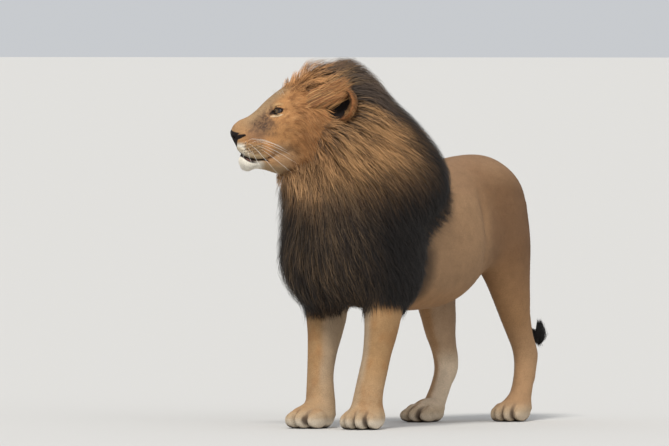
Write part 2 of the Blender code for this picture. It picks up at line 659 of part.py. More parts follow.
def flat_soles(o, height=0.0035):
    """Every corner within reach of the floor lies in it, so the pads end in one flat face."""
    bm = bmesh.new()
    bm.from_mesh(o.data)
    for v in bm.verts:
        if v.co.z < height:
            v.co.z = 0.0
    bmesh.ops.dissolve_degenerate(bm, dist=0.00005, edges=bm.edges)
    bmesh.ops.triangulate(bm, faces=bm.faces)
    bm.to_mesh(o.data)
    bm.free()
    return o


def eye_centre(s):
    f, l, u = head_axes()
    a, b, c = EYE_AT
    return np.array(HEAD_AT) + a * f + s * b * l + c * u


def sphere(name, centre, radius, around=20, rings=12, axis=(0.8, 0.6, 0.0)):
    z = np.array(axis, float)
    z /= np.linalg.norm(z)
    x = np.cross((0.0, 0.0, 1.0), z)
    x /= np.linalg.norm(x)
    y = np.cross(z, x)
    pts = [centre + radius * z]
    for i in range(1, rings):
        a = math.pi * i / rings
        for j in range(around):
            b = 2 * math.pi * j / around
            pts.append(centre + radius * (math.cos(a) * z + math.sin(a) * (math.cos(b) * x + math.sin(b) * y)))
    pts.append(centre - radius * z)
    faces = [(0, 1 + j, 1 + (j + 1) % around) for j in range(around)]
    for i in range(rings - 2):
        r = 1 + i * around
        for j in range(around):
            k = (j + 1) % around
            faces.append((r + j, r + around + j, r + around + k, r + k))
    last = len(pts) - 1
    r = last - around
    faces += [(last, r + (j + 1) % around, r + j) for j in range(around)]
    return add(name, pts, faces)


def build():
    clear()
    f, l, u = head_axes()
    head_R = np.stack([f, l, u], 1)
    at = lambda a, b, c: np.array(HEAD_AT) + a * f + b * l + c * u

    # the whole body as one skin, kept finer on the face and the feet
    pts, quads = closed_surface(body, LOW, HIGH, SKIN_STEP, 3)
    rest = add("trunk", pts, quads)
    q = to_head(pts)
    detail = np.full(len(pts), 0.2)
    detail[(pts[:, 2] < 0.13) | (pts[:, 1] > 0.66)] = 0.3
    detail[(q[:, 0] > 0.10) & (np.abs(q[:, 1]) < 0.16) & (q[:, 2] > -0.26)] = 0.5
    thin(rest, BODY_TRIS, detail)
    flat_soles(rest)

    # eyes in their sockets
    eyes = {}
    for side, s in (("left", 1), ("right", -1)):
        look = s * EYE_LOOK[1] * l + EYE_LOOK[0] * f + EYE_LOOK[2] * u
        socket = sphere("socket", eye_centre(s), EYE_R + GAP, 16, 10, look)
        boolean(rest, socket, "DIFFERENCE")
        bpy.data.objects.remove(socket)
        eyes[side] = sphere("eye_" + side, eye_centre(s), EYE_R, 16, 10, look)

    # ears: cupped shells standing on the skin
    grown = copy_of(rest, "grown")
    m = grown.modifiers.new("out", "DISPLACE")
    m.strength = GAP * 1.6
    m.mid_level = 0.0
    bake(grown)
    tidy(grown)
    ears = {}
    for side, s in (("left", 1), ("right", -1)):
        keep = lambda q: smax(ear_local(q), -s * q[:, 1], 0.001)
        pts, quads = closed_surface(keep, (-0.16, -0.21, -0.10), (0.08, 0.21, 0.16), 0.0030, 3)
        ear = add("ear_" + side, pts @ head_R.T + np.array(HEAD_AT), quads)
        thin(ear, EAR_TRIS)
        boolean(ear, grown, "DIFFERENCE")
        ears[side] = ear
    bpy.data.objects.remove(grown)

    # partings: a slanting one behind the ears and under the chin, one down the rear of the mane,
    # one under its hem, one along each thigh, level ones above the paws
    fore_up_side = np.stack([f, u, -l], 1)
    head_profile = ((0.115, -0.262), (0.60, -0.262), (0.60, 0.60), (-0.51, 0.60))
    pieces = [take(rest, "head", lambda g: prism("cell", head_profile, (-0.5, 0.5), fore_up_side, HEAD_AT, g))]
    tail_up_side = np.array(((0.0, 0.0, 1.0), (1.0, 0.0, 0.0), (0.0, 1.0, 0.0)))
    mane_profile = ((-1.2, 0.432), (-0.374, 0.432), (0.151, 1.50), (-1.2, 1.50))
    pieces.append(take(rest, "neck_mane", lambda g: prism("cell", mane_profile, (-0.6, 0.6), tail_up_side, grow=g)))
    pieces.append(take(rest, "tail_tuft", lambda g: block("cell", (0.143, 0.765, 0.34), (0.060, 0.09, 0.12), None, g)))
    pieces.append(take(rest, "tail", lambda g: block("cell", (0.05, 0.78, 0.58), (0.20, 0.13, 0.40), None, g)))
    for name in PAWS:
        x, y, a, b, out = PAWS[name]
        pieces.append(take(rest, name.replace("fore_", "fore_paw_").replace("hind_", "hind_paw_"),
                           lambda g: block("cell", (x, y, 0.02), (0.105, 0.19, 0.058), None, g)))
    leg_profile = ((0.02, -0.05), (0.70, -0.05), (0.70, 0.858), (0.215, 0.576), (0.02, 0.30))
    for side, s in (("left", 1), ("right", -1)):
        pieces.append(take(rest, "foreleg_" + side, lambda g: block("cell", (s * 0.151, -0.42, 0.25), (0.15, 0.25, 0.181), None, g)))
        across = (0.0008, 0.5) if s > 0 else (-0.5, -0.0008)
        pieces.append(take(rest, "hindleg_" + side, lambda g: prism("cell", leg_profile, across, tail_up_side, grow=g)))
    pieces.append(rest)

    # whatever else a cell caught is too small to be a piece: keep each piece's one solid
    for o in pieces + list(ears.values()):
        keep_largest(o)

    # the frame's origin is under the middle of the whole
    everything = pieces + list(ears.values()) + list(eyes.values())
    corners = np.array([v.co[:] for o in everything for v in o.data.vertices])
    middle = (corners.min(0) + corners.max(0)) / 2
    for o in everything:
        for v in o.data.vertices:
            v.co.x -= middle[0]
            v.co.y -= middle[1]
        o.data.update()

    tan = material("tan_coat", (0.40, 0.25, 0.13), 0.85)
    face = material("face_coat", (0.50, 0.31, 0.15), 0.85)
    dark = material("mane_hair", (0.12, 0.08, 0.055), 0.9)
    gold = material("leg_coat", (0.55, 0.36, 0.19), 0.85)
    black = material("tuft_hair", (0.03, 0.022, 0.018), 0.9)
    amber = material("eye_amber", (0.20, 0.10, 0.03), 0.15)
    for o in pieces:
        m = tan
        if o.name == "head":
            m = face
        elif o.name == "neck_mane":
            m = dark
        elif o.name == "tail_tuft":
            m = black
        elif o.name.startswith("fore"):
            m = gold
        o.data.materials.clear()
        o.data.materials.append(m)
    for o in ears.values():
        o.data.materials.clear()
        o.data.materials.append(face)
    for o in eyes.values():
        o.data.materials.clear()
        o.data.materials.append(amber)


def keep_largest(o):
    bm = bmesh.new()
    bm.from_mesh(o.data)
    left = set(bm.verts)
    groups = []
    while left:
        stack = [left.pop()]
        group = list(stack)
        while stack:
            for e in stack.pop().link_edges:
                for v in e.verts:
                    if v in left:
                        left.discard(v)
                        stack.append(v)
                        group.append(v)
        groups.append(group)
    groups.sort(key=len)
    for g in groups[:-1]:
        bmesh.ops.delete(bm, geom=g, context="VERTS")
    bm.to_mesh(o.data)
    bm.free()


build()
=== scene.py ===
import itertools
import math
import time

import bmesh
import bpy
import numpy as np
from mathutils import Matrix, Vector, kdtree


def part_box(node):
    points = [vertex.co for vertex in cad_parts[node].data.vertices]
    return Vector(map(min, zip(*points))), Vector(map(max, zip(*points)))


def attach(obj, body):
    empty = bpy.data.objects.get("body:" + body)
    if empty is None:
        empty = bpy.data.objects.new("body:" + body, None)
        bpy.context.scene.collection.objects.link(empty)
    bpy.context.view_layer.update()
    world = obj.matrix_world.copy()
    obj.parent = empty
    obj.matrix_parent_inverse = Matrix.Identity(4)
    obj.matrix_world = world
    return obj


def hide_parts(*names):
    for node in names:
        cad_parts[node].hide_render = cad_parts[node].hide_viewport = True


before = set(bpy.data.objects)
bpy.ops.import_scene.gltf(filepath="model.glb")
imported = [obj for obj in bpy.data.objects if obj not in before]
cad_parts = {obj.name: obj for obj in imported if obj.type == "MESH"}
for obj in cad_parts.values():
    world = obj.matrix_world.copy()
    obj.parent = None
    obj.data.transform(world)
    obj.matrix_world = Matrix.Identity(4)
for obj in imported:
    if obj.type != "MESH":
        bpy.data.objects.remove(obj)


# ---------------------------------------------------------------- shape field
# Frame: +X to the lion's left, +Y towards its tail, +Z up, metres.
HEAD_AT = (-0.047, -0.57, 1.205)   # midway between the ears
HEAD_YAW = 45.0                    # degrees turned to its own right
HEAD_PITCH = 0.0


def head_axes():
    a, p = math.radians(HEAD_YAW), math.radians(HEAD_PITCH)
    f = np.array((-math.sin(a) * math.cos(p), -math.cos(a) * math.cos(p), math.sin(p)))
    l = np.array((math.cos(a), -math.sin(a), 0.0))
    return f, l, np.cross(f, l)


def spline(table, at, columns):
    """Smooth curves through the rows of a table, read at the values of its first column."""
    t = np.array(table, float)
    t = t[np.argsort(t[:, 0])]
    x, y = t[:, 0], t[:, 1:]
    d = np.diff(y, axis=0) / np.diff(x)[:, None]
    m = np.vstack([d[:1], (d[1:] + d[:-1]) / 2, d[-1:]])
    at = np.clip(at, x[0], x[-1])
    i = np.clip(np.searchsorted(x, at) - 1, 0, len(x) - 2)
    h = x[i + 1] - x[i]
    s = (at - x[i]) / h
    out = []
    for c in range(columns):
        a, b = y[i, c], y[i + 1, c]
        p, q = m[i, c] * h, m[i + 1, c] * h
        out.append(a * (1 + 2 * s) * (1 - s) ** 2 + p * s * (1 - s) ** 2 + b * s * s * (3 - 2 * s) + q * s * s * (s - 1))
    return out


def smin(a, b, k):
    h = np.clip(0.5 + 0.5 * (b - a) / k, 0, 1)
    return b + (a - b) * h - k * h * (1 - h)


def smax(a, b, k):
    return -smin(-a, -b, k)


def turn(axes):
    """Rotation matrix whose columns are the given axes, made square to each other."""
    a = np.array(axes[0], float); a /= np.linalg.norm(a)
    b = np.array(axes[1], float); b -= a * (a @ b); b /= np.linalg.norm(b)
    return np.stack([a, b, np.cross(a, b)], 1)


def ball(P, c, r, R=None):
    q = P - np.array(c, float)
    if R is not None:
        q = q @ R
    r = np.array(r, float)
    a = np.sqrt(((q / r) ** 2).sum(1)) + 1e-9
    b = np.sqrt(((q / r ** 2) ** 2).sum(1)) + 1e-9
    return a * (a - 1) / b


def cone(P, a, b, ra, rb, squash=None):
    P = np.array(P, float); a = np.array(a, float); b = np.array(b, float)
    if squash is not None:
        s = np.array(squash, float); P = P / s; a = a / s; b = b / s
    ab = b - a
    t = np.clip((P - a) @ ab / (ab @ ab), 0, 1)
    return np.sqrt(((P - a - t[:, None] * ab) ** 2).sum(1)) - (ra + (rb - ra) * t)


def limb(P, table):
    """Upright tapering limb. Rows: height, x, y, half depth along Y, half width along X."""
    cx, cy, a, b = spline(table, P[:, 2], 4)
    qx, qy = P[:, 0] - cx, P[:, 1] - cy
    k0 = np.sqrt((qx / b) ** 2 + (qy / a) ** 2) + 1e-9
    k1 = np.sqrt((qx / b ** 2) ** 2 + (qy / a ** 2) ** 2) + 1e-9
    f = k0 * (k0 - 1) / k1
    zs = [r[0] for r in table]
    out = np.maximum(P[:, 2] - max(zs), min(zs) - P[:, 2])
    return np.where(out > 0, np.sqrt(np.maximum(f, 0) ** 2 + out ** 2) + np.minimum(f, 0) * 0.2, f)


# y, back, belly, half width, how much narrower the top is
TRUNK = ((-0.58,0.82,0.64,0.06,0.0),(-0.54,0.90,0.57,0.12,0.0),(-0.47,0.99,0.50,0.170,0.1),(-0.38,1.050,0.465,0.200,0.25),
    (-0.22,1.045,0.445,0.222,0.25),(-0.05,1.016,0.437,0.236,0.18),(0.10,1.012,0.452,0.234,0.14),(0.22,1.022,0.505,0.214,0.10),
    (0.34,1.036,0.60,0.194,0.06),(0.46,1.034,0.66,0.178,0.04),(0.56,0.985,0.68,0.148,0.02),(0.635,0.890,0.73,0.08,0.0))

def trunk(P):
    top, bot, w, nar = spline(TRUNK, P[:, 1], 4)
    c, h = (top + bot) / 2, (top - bot) / 2
    zn = (P[:, 2] - c) / h
    w = w * (1 - nar * np.clip(zn, -1, 1))
    qx, qz = np.abs(P[:, 0]) / w, np.abs(zn)
    n = 2.25
    k0 = (qx ** n + qz ** n) ** (1 / n) + 1e-9
    f = (k0 - 1) * np.minimum(w, h) * (1 - 0.25 * np.clip(qz / k0, 0, 1)* 0)
    y0, y1 = TRUNK[0][0], TRUNK[-1][0]
    out = np.maximum(P[:, 1] - y1, y0 - P[:, 1])
    return np.where(out > 0, np.sqrt(np.maximum(f, 0) ** 2 + out ** 2), f)


HIND = {
    "left": (
        (0.84, 0.118, 0.395, 0.172, 0.070), (0.76, 0.128, 0.398, 0.194, 0.080), (0.68, 0.135, 0.406, 0.182, 0.084), (0.60, 0.140, 0.424, 0.152, 0.079),
        (0.54, 0.145, 0.444, 0.124, 0.071), (0.47, 0.145, 0.472, 0.100, 0.063), (0.40, 0.142, 0.502, 0.079, 0.054),
        (0.33, 0.138, 0.545, 0.067, 0.048), (0.285, 0.136, 0.576, 0.066, 0.045), (0.25, 0.134, 0.590, 0.063, 0.044),
        (0.20, 0.133, 0.586, 0.052, 0.042), (0.14, 0.133, 0.570, 0.048, 0.042), (0.09, 0.134, 0.548, 0.052, 0.046), (0.05, 0.135, 0.530, 0.057, 0.052)),
    "right": (
        (0.84, -0.118, 0.38, 0.165, 0.065), (0.76, -0.128, 0.378, 0.190, 0.078), (0.68, -0.134, 0.372, 0.178, 0.082), (0.60, -0.138, 0.366, 0.150, 0.077),
        (0.54, -0.140, 0.362, 0.130, 0.072), (0.47, -0.139, 0.368, 0.110, 0.066), (0.40, -0.136, 0.384, 0.094, 0.060),
        (0.33, -0.133, 0.396, 0.077, 0.053), (0.285, -0.131, 0.412, 0.067, 0.048), (0.25, -0.130, 0.424, 0.064, 0.046),
        (0.20, -0.128, 0.426, 0.057, 0.045), (0.14, -0.127, 0.390, 0.047, 0.042), (0.09, -0.125, 0.352, 0.046, 0.045), (0.05, -0.123, 0.318, 0.046, 0.050)),
}
FORE = {
    "left": (
        (0.80, 0.130, -0.36, 0.130, 0.060), (0.68, 0.148, -0.39, 0.120, 0.070), (0.58, 0.155, -0.412, 0.110, 0.076), (0.50, 0.155, -0.430, 0.098, 0.073), (0.42, 0.151, -0.450, 0.084, 0.068),
        (0.36, 0.147, -0.458, 0.075, 0.063), (0.28, 0.140, -0.475, 0.062, 0.057), (0.20, 0.133, -0.496, 0.060, 0.057),
        (0.14, 0.128, -0.512, 0.058, 0.058), (0.09, 0.125, -0.520, 0.060, 0.062), (0.05, 0.123, -0.522, 0.062, 0.063)),
    "right": (
        (0.80, -0.130, -0.36, 0.130, 0.060), (0.68, -0.146, -0.385, 0.120, 0.070), (0.58, -0.152, -0.378, 0.118, 0.080), (0.50, -0.150, -0.384, 0.108, 0.078), (0.42, -0.143, -0.394, 0.095, 0.074),
        (0.36, -0.137, -0.412, 0.080, 0.067), (0.28, -0.128, -0.446, 0.063, 0.058), (0.20, -0.121, -0.470, 0.056, 0.053),
        (0.14, -0.117, -0.476, 0.057, 0.056), (0.09, -0.115, -0.478, 0.060, 0.060), (0.05, -0.114, -0.490, 0.062, 0.062)),
}
# centre x, y, half length, half width, turn outwards in degrees
PAWS = {
    "fore_left": (0.124, -0.535, 0.112, 0.080, 6.0),
    "fore_right": (-0.116, -0.540, 0.114, 0.084, 10.0),
    "hind_left": (0.136, 0.492, 0.104, 0.070, 5.0),
    "hind_right": (-0.121, 0.252, 0.108, 0.073, 8.0),
}


TALL = {"fore_left": 1.0, "fore_right": 1.0, "hind_left": 0.94, "hind_right": 0.82}    # height of each foot


def paw_axes(name):
    x, y, a, b, out = PAWS[name]
    s = 1 if name.endswith("left") else -1
    t = math.radians(out)
    f = np.array((s * math.sin(t), -math.cos(t), 0.0))
    return np.array((x, y, 0.0)), f, np.array((math.cos(t), s * math.sin(t), 0.0))


def toes(name):
    """Centres (forward, side, height) and half sizes of the four toes."""
    x, y, a, b, out = PAWS[name]
    s = 1 if name.endswith("left") else -1
    found = []
    for i, (side, ahead, lift) in enumerate(((-0.74, 0.30, 0.0), (-0.27, 0.56, 0.004), (0.24, 0.55, 0.004), (0.72, 0.26, 0.0))):
        t = TALL[name]
        found.append(((ahead * a, s * side * b, (0.031 + lift) * t), (0.44 * a, 0.27 * b, (0.034 + lift) * t)))
    return found


def paw(P, name):
    x, y, a, b, out = PAWS[name]
    o, f, l = paw_axes(name)
    Q = P - o
    q = np.stack([Q @ f, Q @ l, Q[:, 2]], 1)
    h = TALL[name]
    d = ball(q, (-0.10 * a, 0, 0.038 * h), (0.78 * a, 0.86 * b, 0.050 * h))
    d = smin(d, ball(q, (-0.28 * a, 0, 0.06 * h), (0.55 * a, 0.66 * b, 0.055 * h)), 0.03)
    d = smin(d, ball(q, (0.18 * a, 0, 0.052 * h * h), (0.50 * a, 0.62 * b, 0.034 * h)), 0.025)
    t = None
    for c, r in toes(name):
        one = ball(q, c, r)
        one = smin(one, ball(q, (c[0] - 0.14 * a, c[1] * 0.96, c[2] + 0.016), (0.20 * a, r[1] * 0.86, 0.026)), 0.018)
        t = one if t is None else smin(t, one, 0.006)
    return smin(d, t, 0.012)


EYE_AT = (0.1755, 0.0475, 0.004)
EYE_R = 0.0185
EYE_LOOK = (0.80, 0.60, 0.04)


def to_head(P):
    f, l, u = head_axes()
    Q = P - np.array(HEAD_AT)
    return np.stack([Q @ f, Q @ l, Q @ u], 1)


# forward, top line, lower line, half widths from the lower line up to the top line
SKULL = ((-0.170, 0.030, -0.080, 0.050, 0.060, 0.060, 0.058, 0.056),
         (-0.120, 0.105, -0.150, 0.080, 0.100, 0.100, 0.094, 0.080),
         (-0.060, 0.128, -0.185, 0.085, 0.112, 0.115, 0.108, 0.088),
         (0.000, 0.134, -0.195, 0.084, 0.116, 0.120, 0.110, 0.086),
         (0.060, 0.126, -0.198, 0.080, 0.112, 0.122, 0.108, 0.086),
         (0.110, 0.114, -0.198, 0.074, 0.098, 0.116, 0.100, 0.084),
         (0.150, 0.096, -0.195, 0.068, 0.084, 0.098, 0.086, 0.074),
         (0.185, 0.073, -0.187, 0.060, 0.073, 0.078, 0.068, 0.060),
         (0.220, 0.044, -0.182, 0.052, 0.067, 0.063, 0.052, 0.046),
         (0.255, 0.009, -0.179, 0.050, 0.066, 0.058, 0.044, 0.040),
         (0.285, -0.014, -0.175, 0.046, 0.063, 0.055, 0.041, 0.037),
         (0.306, -0.024, -0.166, 0.038, 0.055, 0.048, 0.039, 0.036),
         (0.320, -0.030, -0.150, 0.024, 0.040, 0.038, 0.037, 0.034),
         (0.331, -0.038, -0.130, 0.013, 0.027, 0.031, 0.034, 0.032),
         (0.343, -0.050, -0.108, 0.009, 0.022, 0.027, 0.030, 0.028),
         (0.351, -0.066, -0.092, 0.004, 0.012, 0.015, 0.018, 0.016))
JAW = ((-0.060, -0.120, -0.185, 0.040, 0.080, 0.080, 0.050),
       (0.020, -0.120, -0.222, 0.050, 0.090, 0.095, 0.060),
       (0.100, -0.130, -0.236, 0.050, 0.078, 0.085, 0.060),
       (0.170, -0.150, -0.236, 0.040, 0.062, 0.067, 0.050),
       (0.225, -0.165, -0.221, 0.034, 0.048, 0.053, 0.046),
       (0.262, -0.168, -0.217, 0.034, 0.050, 0.053, 0.046),
       (0.290, -0.164, -0.225, 0.030, 0.046, 0.047, 0.040),
       (0.304, -0.158, -0.221, 0.024, 0.039, 0.040, 0.033),
       (0.313, -0.160, -0.215, 0.014, 0.028, 0.029, 0.023),
       (0.319, -0.170, -0.202, 0.004, 0.012, 0.013, 0.010))


def loft(q, table, n):
    """A body whose sections across its length are given: top line, lower line, and half widths by height."""
    cols = spline(table, q[:, 0], len(table[0]) - 1)
    top, low, W = cols[0], cols[1], np.stack(cols[2:], 1)
    c, h = (top + low) / 2, np.maximum((top - low) / 2, 0.004)
    zn = (q[:, 2] - c) / h
    m = W.shape[1]
    at = np.clip((zn + 1) / 2 * (m - 1), 0, m - 1 - 1e-6)
    i = at.astype(int); s = at - i; s = s * s * (3 - 2 * s)
    r = np.arange(len(q))
    w = np.maximum(W[r, i] * (1 - s) + W[r, i + 1] * s, 0.002)
    a, b = np.abs(q[:, 1]) / w, np.abs(zn)
    k0 = (a ** n + b ** n) ** (1 / n) + 1e-9
    g = np.sqrt((a ** (n - 1) / w) ** 2 + (b ** (n - 1) / h) ** 2) / k0 ** (n - 1) + 1e-6
    f = (k0 - 1) / g
    y0, y1 = table[0][0], table[-1][0]
    out = np.maximum(q[:, 0] - y1, y0 - q[:, 0])
    return np.where(out > 0, np.sqrt(np.maximum(f, 0) ** 2 + out ** 2), f)


def head_local(q):
    """The head without its mane: q is forward, side (either), up from midway between the ears."""
    q = np.stack([q[:, 0], np.abs(q[:, 1]), q[:, 2]], 1)
    d = loft(q, SKULL, 2.2)
    # jaw muscle, cheek bone, brow
    d = smin(d, ball(q, (0.040, 0.086, -0.100), (0.090, 0.042, 0.085)), 0.035)
    d = smin(d, ball(q, (0.132, 0.070, -0.036), (0.062, 0.026, 0.024), turn(((0.90, -0.42, -0.10), (0.38, 0.92, 0)))), 0.03)
    d = smin(d, ball(q, (0.172, 0.046, 0.034), (0.032, 0.019, 0.012), turn(((0.80, 0.30, -0.50), (-0.3, 0.95, 0)))), 0.016)
    # hollow for the eye, and the groove from its inner corner
    d = smax(d, -ball(q, (0.200, 0.066, 0.006), (0.028, 0.020, 0.019), turn(((0.80, -0.60, 0), (0.6, 0.8, 0)))), 0.020)
    # upper lip pads
    d = smin(d, ball(q, (0.281, 0.032, -0.131), (0.044, 0.030, 0.033), turn(((0.96, -0.28, 0.10), (0.28, 0.96, 0)))), 0.014)
    d = smin(d, ball(q, (0.245, 0.046, -0.146), (0.050, 0.022, 0.032)), 0.02)
    # wings of the nose
    d = smin(d, ball(q, (0.322, 0.025, -0.082), (0.024, 0.013, 0.014), turn(((0.93, -0.30, 0.16), (0.30, 0.95, 0)))), 0.008)
    low = loft(q, JAW, 2.2)
    return smin(d, low, np.interp(q[:, 0], (0.12, 0.21), (0.045, 0.004)))


def ear_axes():
    """Middle of the ear's opening, and its axes: out of the opening, along its height, across."""
    out = np.array((0.74, 0.66, 0.14)); up = np.array((-0.34, 0.16, 0.93))
    R = turn((out, up))
    return np.array((-0.050, 0.128, 0.030)), R


def ear_hollow(q):
    q = np.stack([q[:, 0], np.abs(q[:, 1]), q[:, 2]], 1)
    c, R = ear_axes()
    e = (q - c) @ R
    return ball(e, (0.012, -0.004, 0.0), (0.044, 0.052, 0.044))


def ear_local(q):
    q = np.stack([q[:, 0], np.abs(q[:, 1]), q[:, 2]], 1)
    c, R = ear_axes()
    e = (q - c) @ R
    shell = ball(e, (-0.012, 0, 0), (0.042, 0.061, 0.054))
    hollow = ball(e, (0.012, -0.004, 0.0), (0.044, 0.052, 0.044))
    d = smax(shell, -hollow, 0.005)
    root = cone(q, (-0.040, 0.085, -0.012), (-0.055, 0.112, 0.012), 0.042, 0.034)
    return smax(smin(d, root, 0.01), -hollow, 0.008)


def head(P):
    return head_local(to_head(P))


def mane(P):
    f, l, u = head_axes()
    R = np.stack([f, l, u], 1)
    c = np.array(HEAD_AT)
    at = lambda a, b, z: c + a * f + b * l + z * u
    d = ball(P, at(0.015, 0, 0.085), (0.105, 0.100, 0.127), R)           # crest between the ears
    d = smin(d, ball(P, at(0.090, 0, 0.080), (0.072, 0.066, 0.070), R), 0.03)
    d = smin(d, ball(P, at(-0.090, 0, 0.062), (0.112, 0.115, 0.145), R), 0.03)
    d = smin(d, ball(P, at(-0.140, 0, -0.012), (0.125, 0.160, 0.158), R), 0.05)   # nape behind the ears
    d = smin(d, ball(P, at(-0.045, 0, -0.115), (0.125, 0.185, 0.135), R), 0.05)  # ruff under the ears
    d = smin(d, ball(P, at(0.030, 0, -0.255), (0.150, 0.130, 0.110), R), 0.05)   # beard
    d = smin(d, ball(P, (0.000, -0.400, 1.035), (0.250, 0.272, 0.248)), 0.07)      # neck
    d = smin(d, ball(P, (0.000, -0.33, 0.935), (0.310, 0.330, 0.240)), 0.08)     # shoulders
    d = smin(d, ball(P, (-0.018, -0.445, 0.80), (0.257, 0.252, 0.250)), 0.07)     # chest
    d = smin(d, ball(P, (-0.010, -0.40, 0.68), (0.270, 0.260, 0.215)), 0.07)
    for s, x, y in ((-1, -0.125, -0.43), (1, 0.135, -0.40)):                     # its lower edge over each elbow
        d = smin(d, ball(P, (x, y, 0.60), (0.130, 0.165, 0.165)), 0.04)
    d = smin(d, ball(P, (-0.110, -0.485, 0.640), (0.150, 0.170, 0.165)), 0.05)
    q = to_head(P)
    q[:, 1] = np.abs(q[:, 1])
    return smax(d, -ball(q, (-0.015, 0.172, 0.045), (0.080, 0.072, 0.074)), 0.03)    # room for the ears


def tail_line():
    return ((0.0, 0.560, 0.930), (0.0, 0.645, 0.890), (-0.004, 0.697, 0.790), (-0.006, 0.717, 0.650), (0.012, 0.726, 0.510),
            (0.044, 0.730, 0.398), (0.074, 0.738, 0.326), (0.100, 0.744, 0.298))


def smooth_line(pts, n):
    pts = np.array(pts, float)
    s = np.arange(len(pts), dtype=float)
    tab = np.column_stack([s, pts])
    at = np.linspace(0, len(pts) - 1, n)
    return np.stack(spline(tab, at, pts.shape[1]), 1)


def tail(P):
    line = smooth_line(tail_line(), 20)
    d = None
    for i in range(len(line) - 1):
        s0, s1 = i / 19, (i + 1) / 19
        r = lambda s: 0.040 - 0.022 * min(1, s * 2.2) - 0.004 * s
        one = cone(P, line[i], line[i + 1], r(s0), r(s1))
        d = one if d is None else np.minimum(d, one)
    return d


def tuft(P):
    d = cone(P, (0.078, 0.736, 0.304), (0.106, 0.746, 0.308), 0.016, 0.026)
    d = smin(d, cone(P, (0.106, 0.746, 0.308), (0.111, 0.752, 0.354), 0.027, 0.027), 0.01)
    return smin(d, cone(P, (0.111, 0.752, 0.354), (0.096, 0.752, 0.406), 0.026, 0.012), 0.01)


def body(P, with_mane=True, with_head=True):
    d = trunk(P)
    for s in (1, -1):
        # haunch and shoulder muscle
        d = smin(d, ball(P, (s * 0.105, 0.40, 0.82), (0.085, 0.170, 0.150)), 0.05)
        d = smin(d, ball(P, (s * 0.130, -0.33, 0.80), (0.085, 0.130, 0.230)), 0.05)
    for side in ("left", "right"):
        d = smin(d, limb(P, HIND[side]), 0.035)
        d = smin(d, limb(P, FORE[side]), 0.035)
        s = 1 if side == "left" else -1
        # point of the hock and the heel cord
        z = HIND[side]
        hx, hy = z[9][1], z[9][2]
        d = smin(d, cone(P, (hx, hy + 0.038, 0.262), (hx, hy + 0.014, 0.17), 0.021, 0.028), 0.02)
        d = smin(d, cone(P, (hx, hy + 0.040, 0.265), (hx * 1.02, hy - 0.025, 0.44), 0.017, 0.030), 0.02)
        # elbow and wrist
        e = FORE[side]
        d = smin(d, ball(P, (e[3][1], e[3][2] + 0.07, 0.50), (0.04, 0.045, 0.07)), 0.03)
        # skin fold from knee to flank
        d = smin(d, ball(P, (s * 0.160, 0.235, 0.70), (0.035, 0.075, 0.09)), 0.05)
    # neck
    c = np.array(HEAD_AT)
    d = smin(d, cone(P, c + (0, 0.03, -0.05), (0, -0.34, 0.84), 0.125, 0.185), 0.08)
    if with_head:
        d = smin(d, head(P), 0.018)
    for name in PAWS:
        d = smin(d, paw(P, name), 0.022)
    if with_mane:
        d = smin(d, mane(P), 0.02)
    d = smin(d, ball(P, (0, 0.53, 0.79), (0.07, 0.085, 0.12)), 0.04)
    d = smin(d, smin(tail(P), tuft(P), 0.004), 0.02)
    return smax(d, 0.001 - P[:, 2], 0.004)


# ---------------------------------------------------------------- surface of a field
def read_field(fn, P):
    out = np.empty(len(P))
    for s in range(0, len(P), 300000):
        out[s:s + 300000] = fn(P[s:s + 300000])
    return out


def grid_field(fn, lo, hi, step, levels=3):
    """Reads fn on a grid: all of it coarsely, then at each halving only near the surface."""
    lo, hi = np.array(lo, float), np.array(hi, float)
    K = 2 ** levels
    n = np.ceil((hi - lo) / (step * K)).astype(int) + 1
    ax = [lo[i] + np.arange(n[i]) * step * K for i in range(3)]
    G = np.stack(np.meshgrid(*ax, indexing="ij"), -1).reshape(-1, 3)
    F = read_field(fn, G).reshape(n).astype(np.float32)
    for level in range(levels):
        K //= 2
        for a in range(3):
            m = F.shape[a]
            shape = list(F.shape)
            shape[a] = 2 * m - 1
            new = np.empty(shape, np.float32)
            at = [slice(None)] * 3
            at[a] = slice(0, None, 2)
            new[tuple(at)] = F
            mid, one, two = list(at), [slice(None)] * 3, [slice(None)] * 3
            mid[a], one[a], two[a] = slice(1, None, 2), slice(0, m - 1), slice(1, m)
            new[tuple(mid)] = (F[tuple(one)] + F[tuple(two)]) / 2
            F = new
        near = np.abs(F) < step * K * (1.9 if K > 1 else 1.5)
        at = np.argwhere(near)
        F[near] = read_field(fn, lo + at * (step * K))
    return F


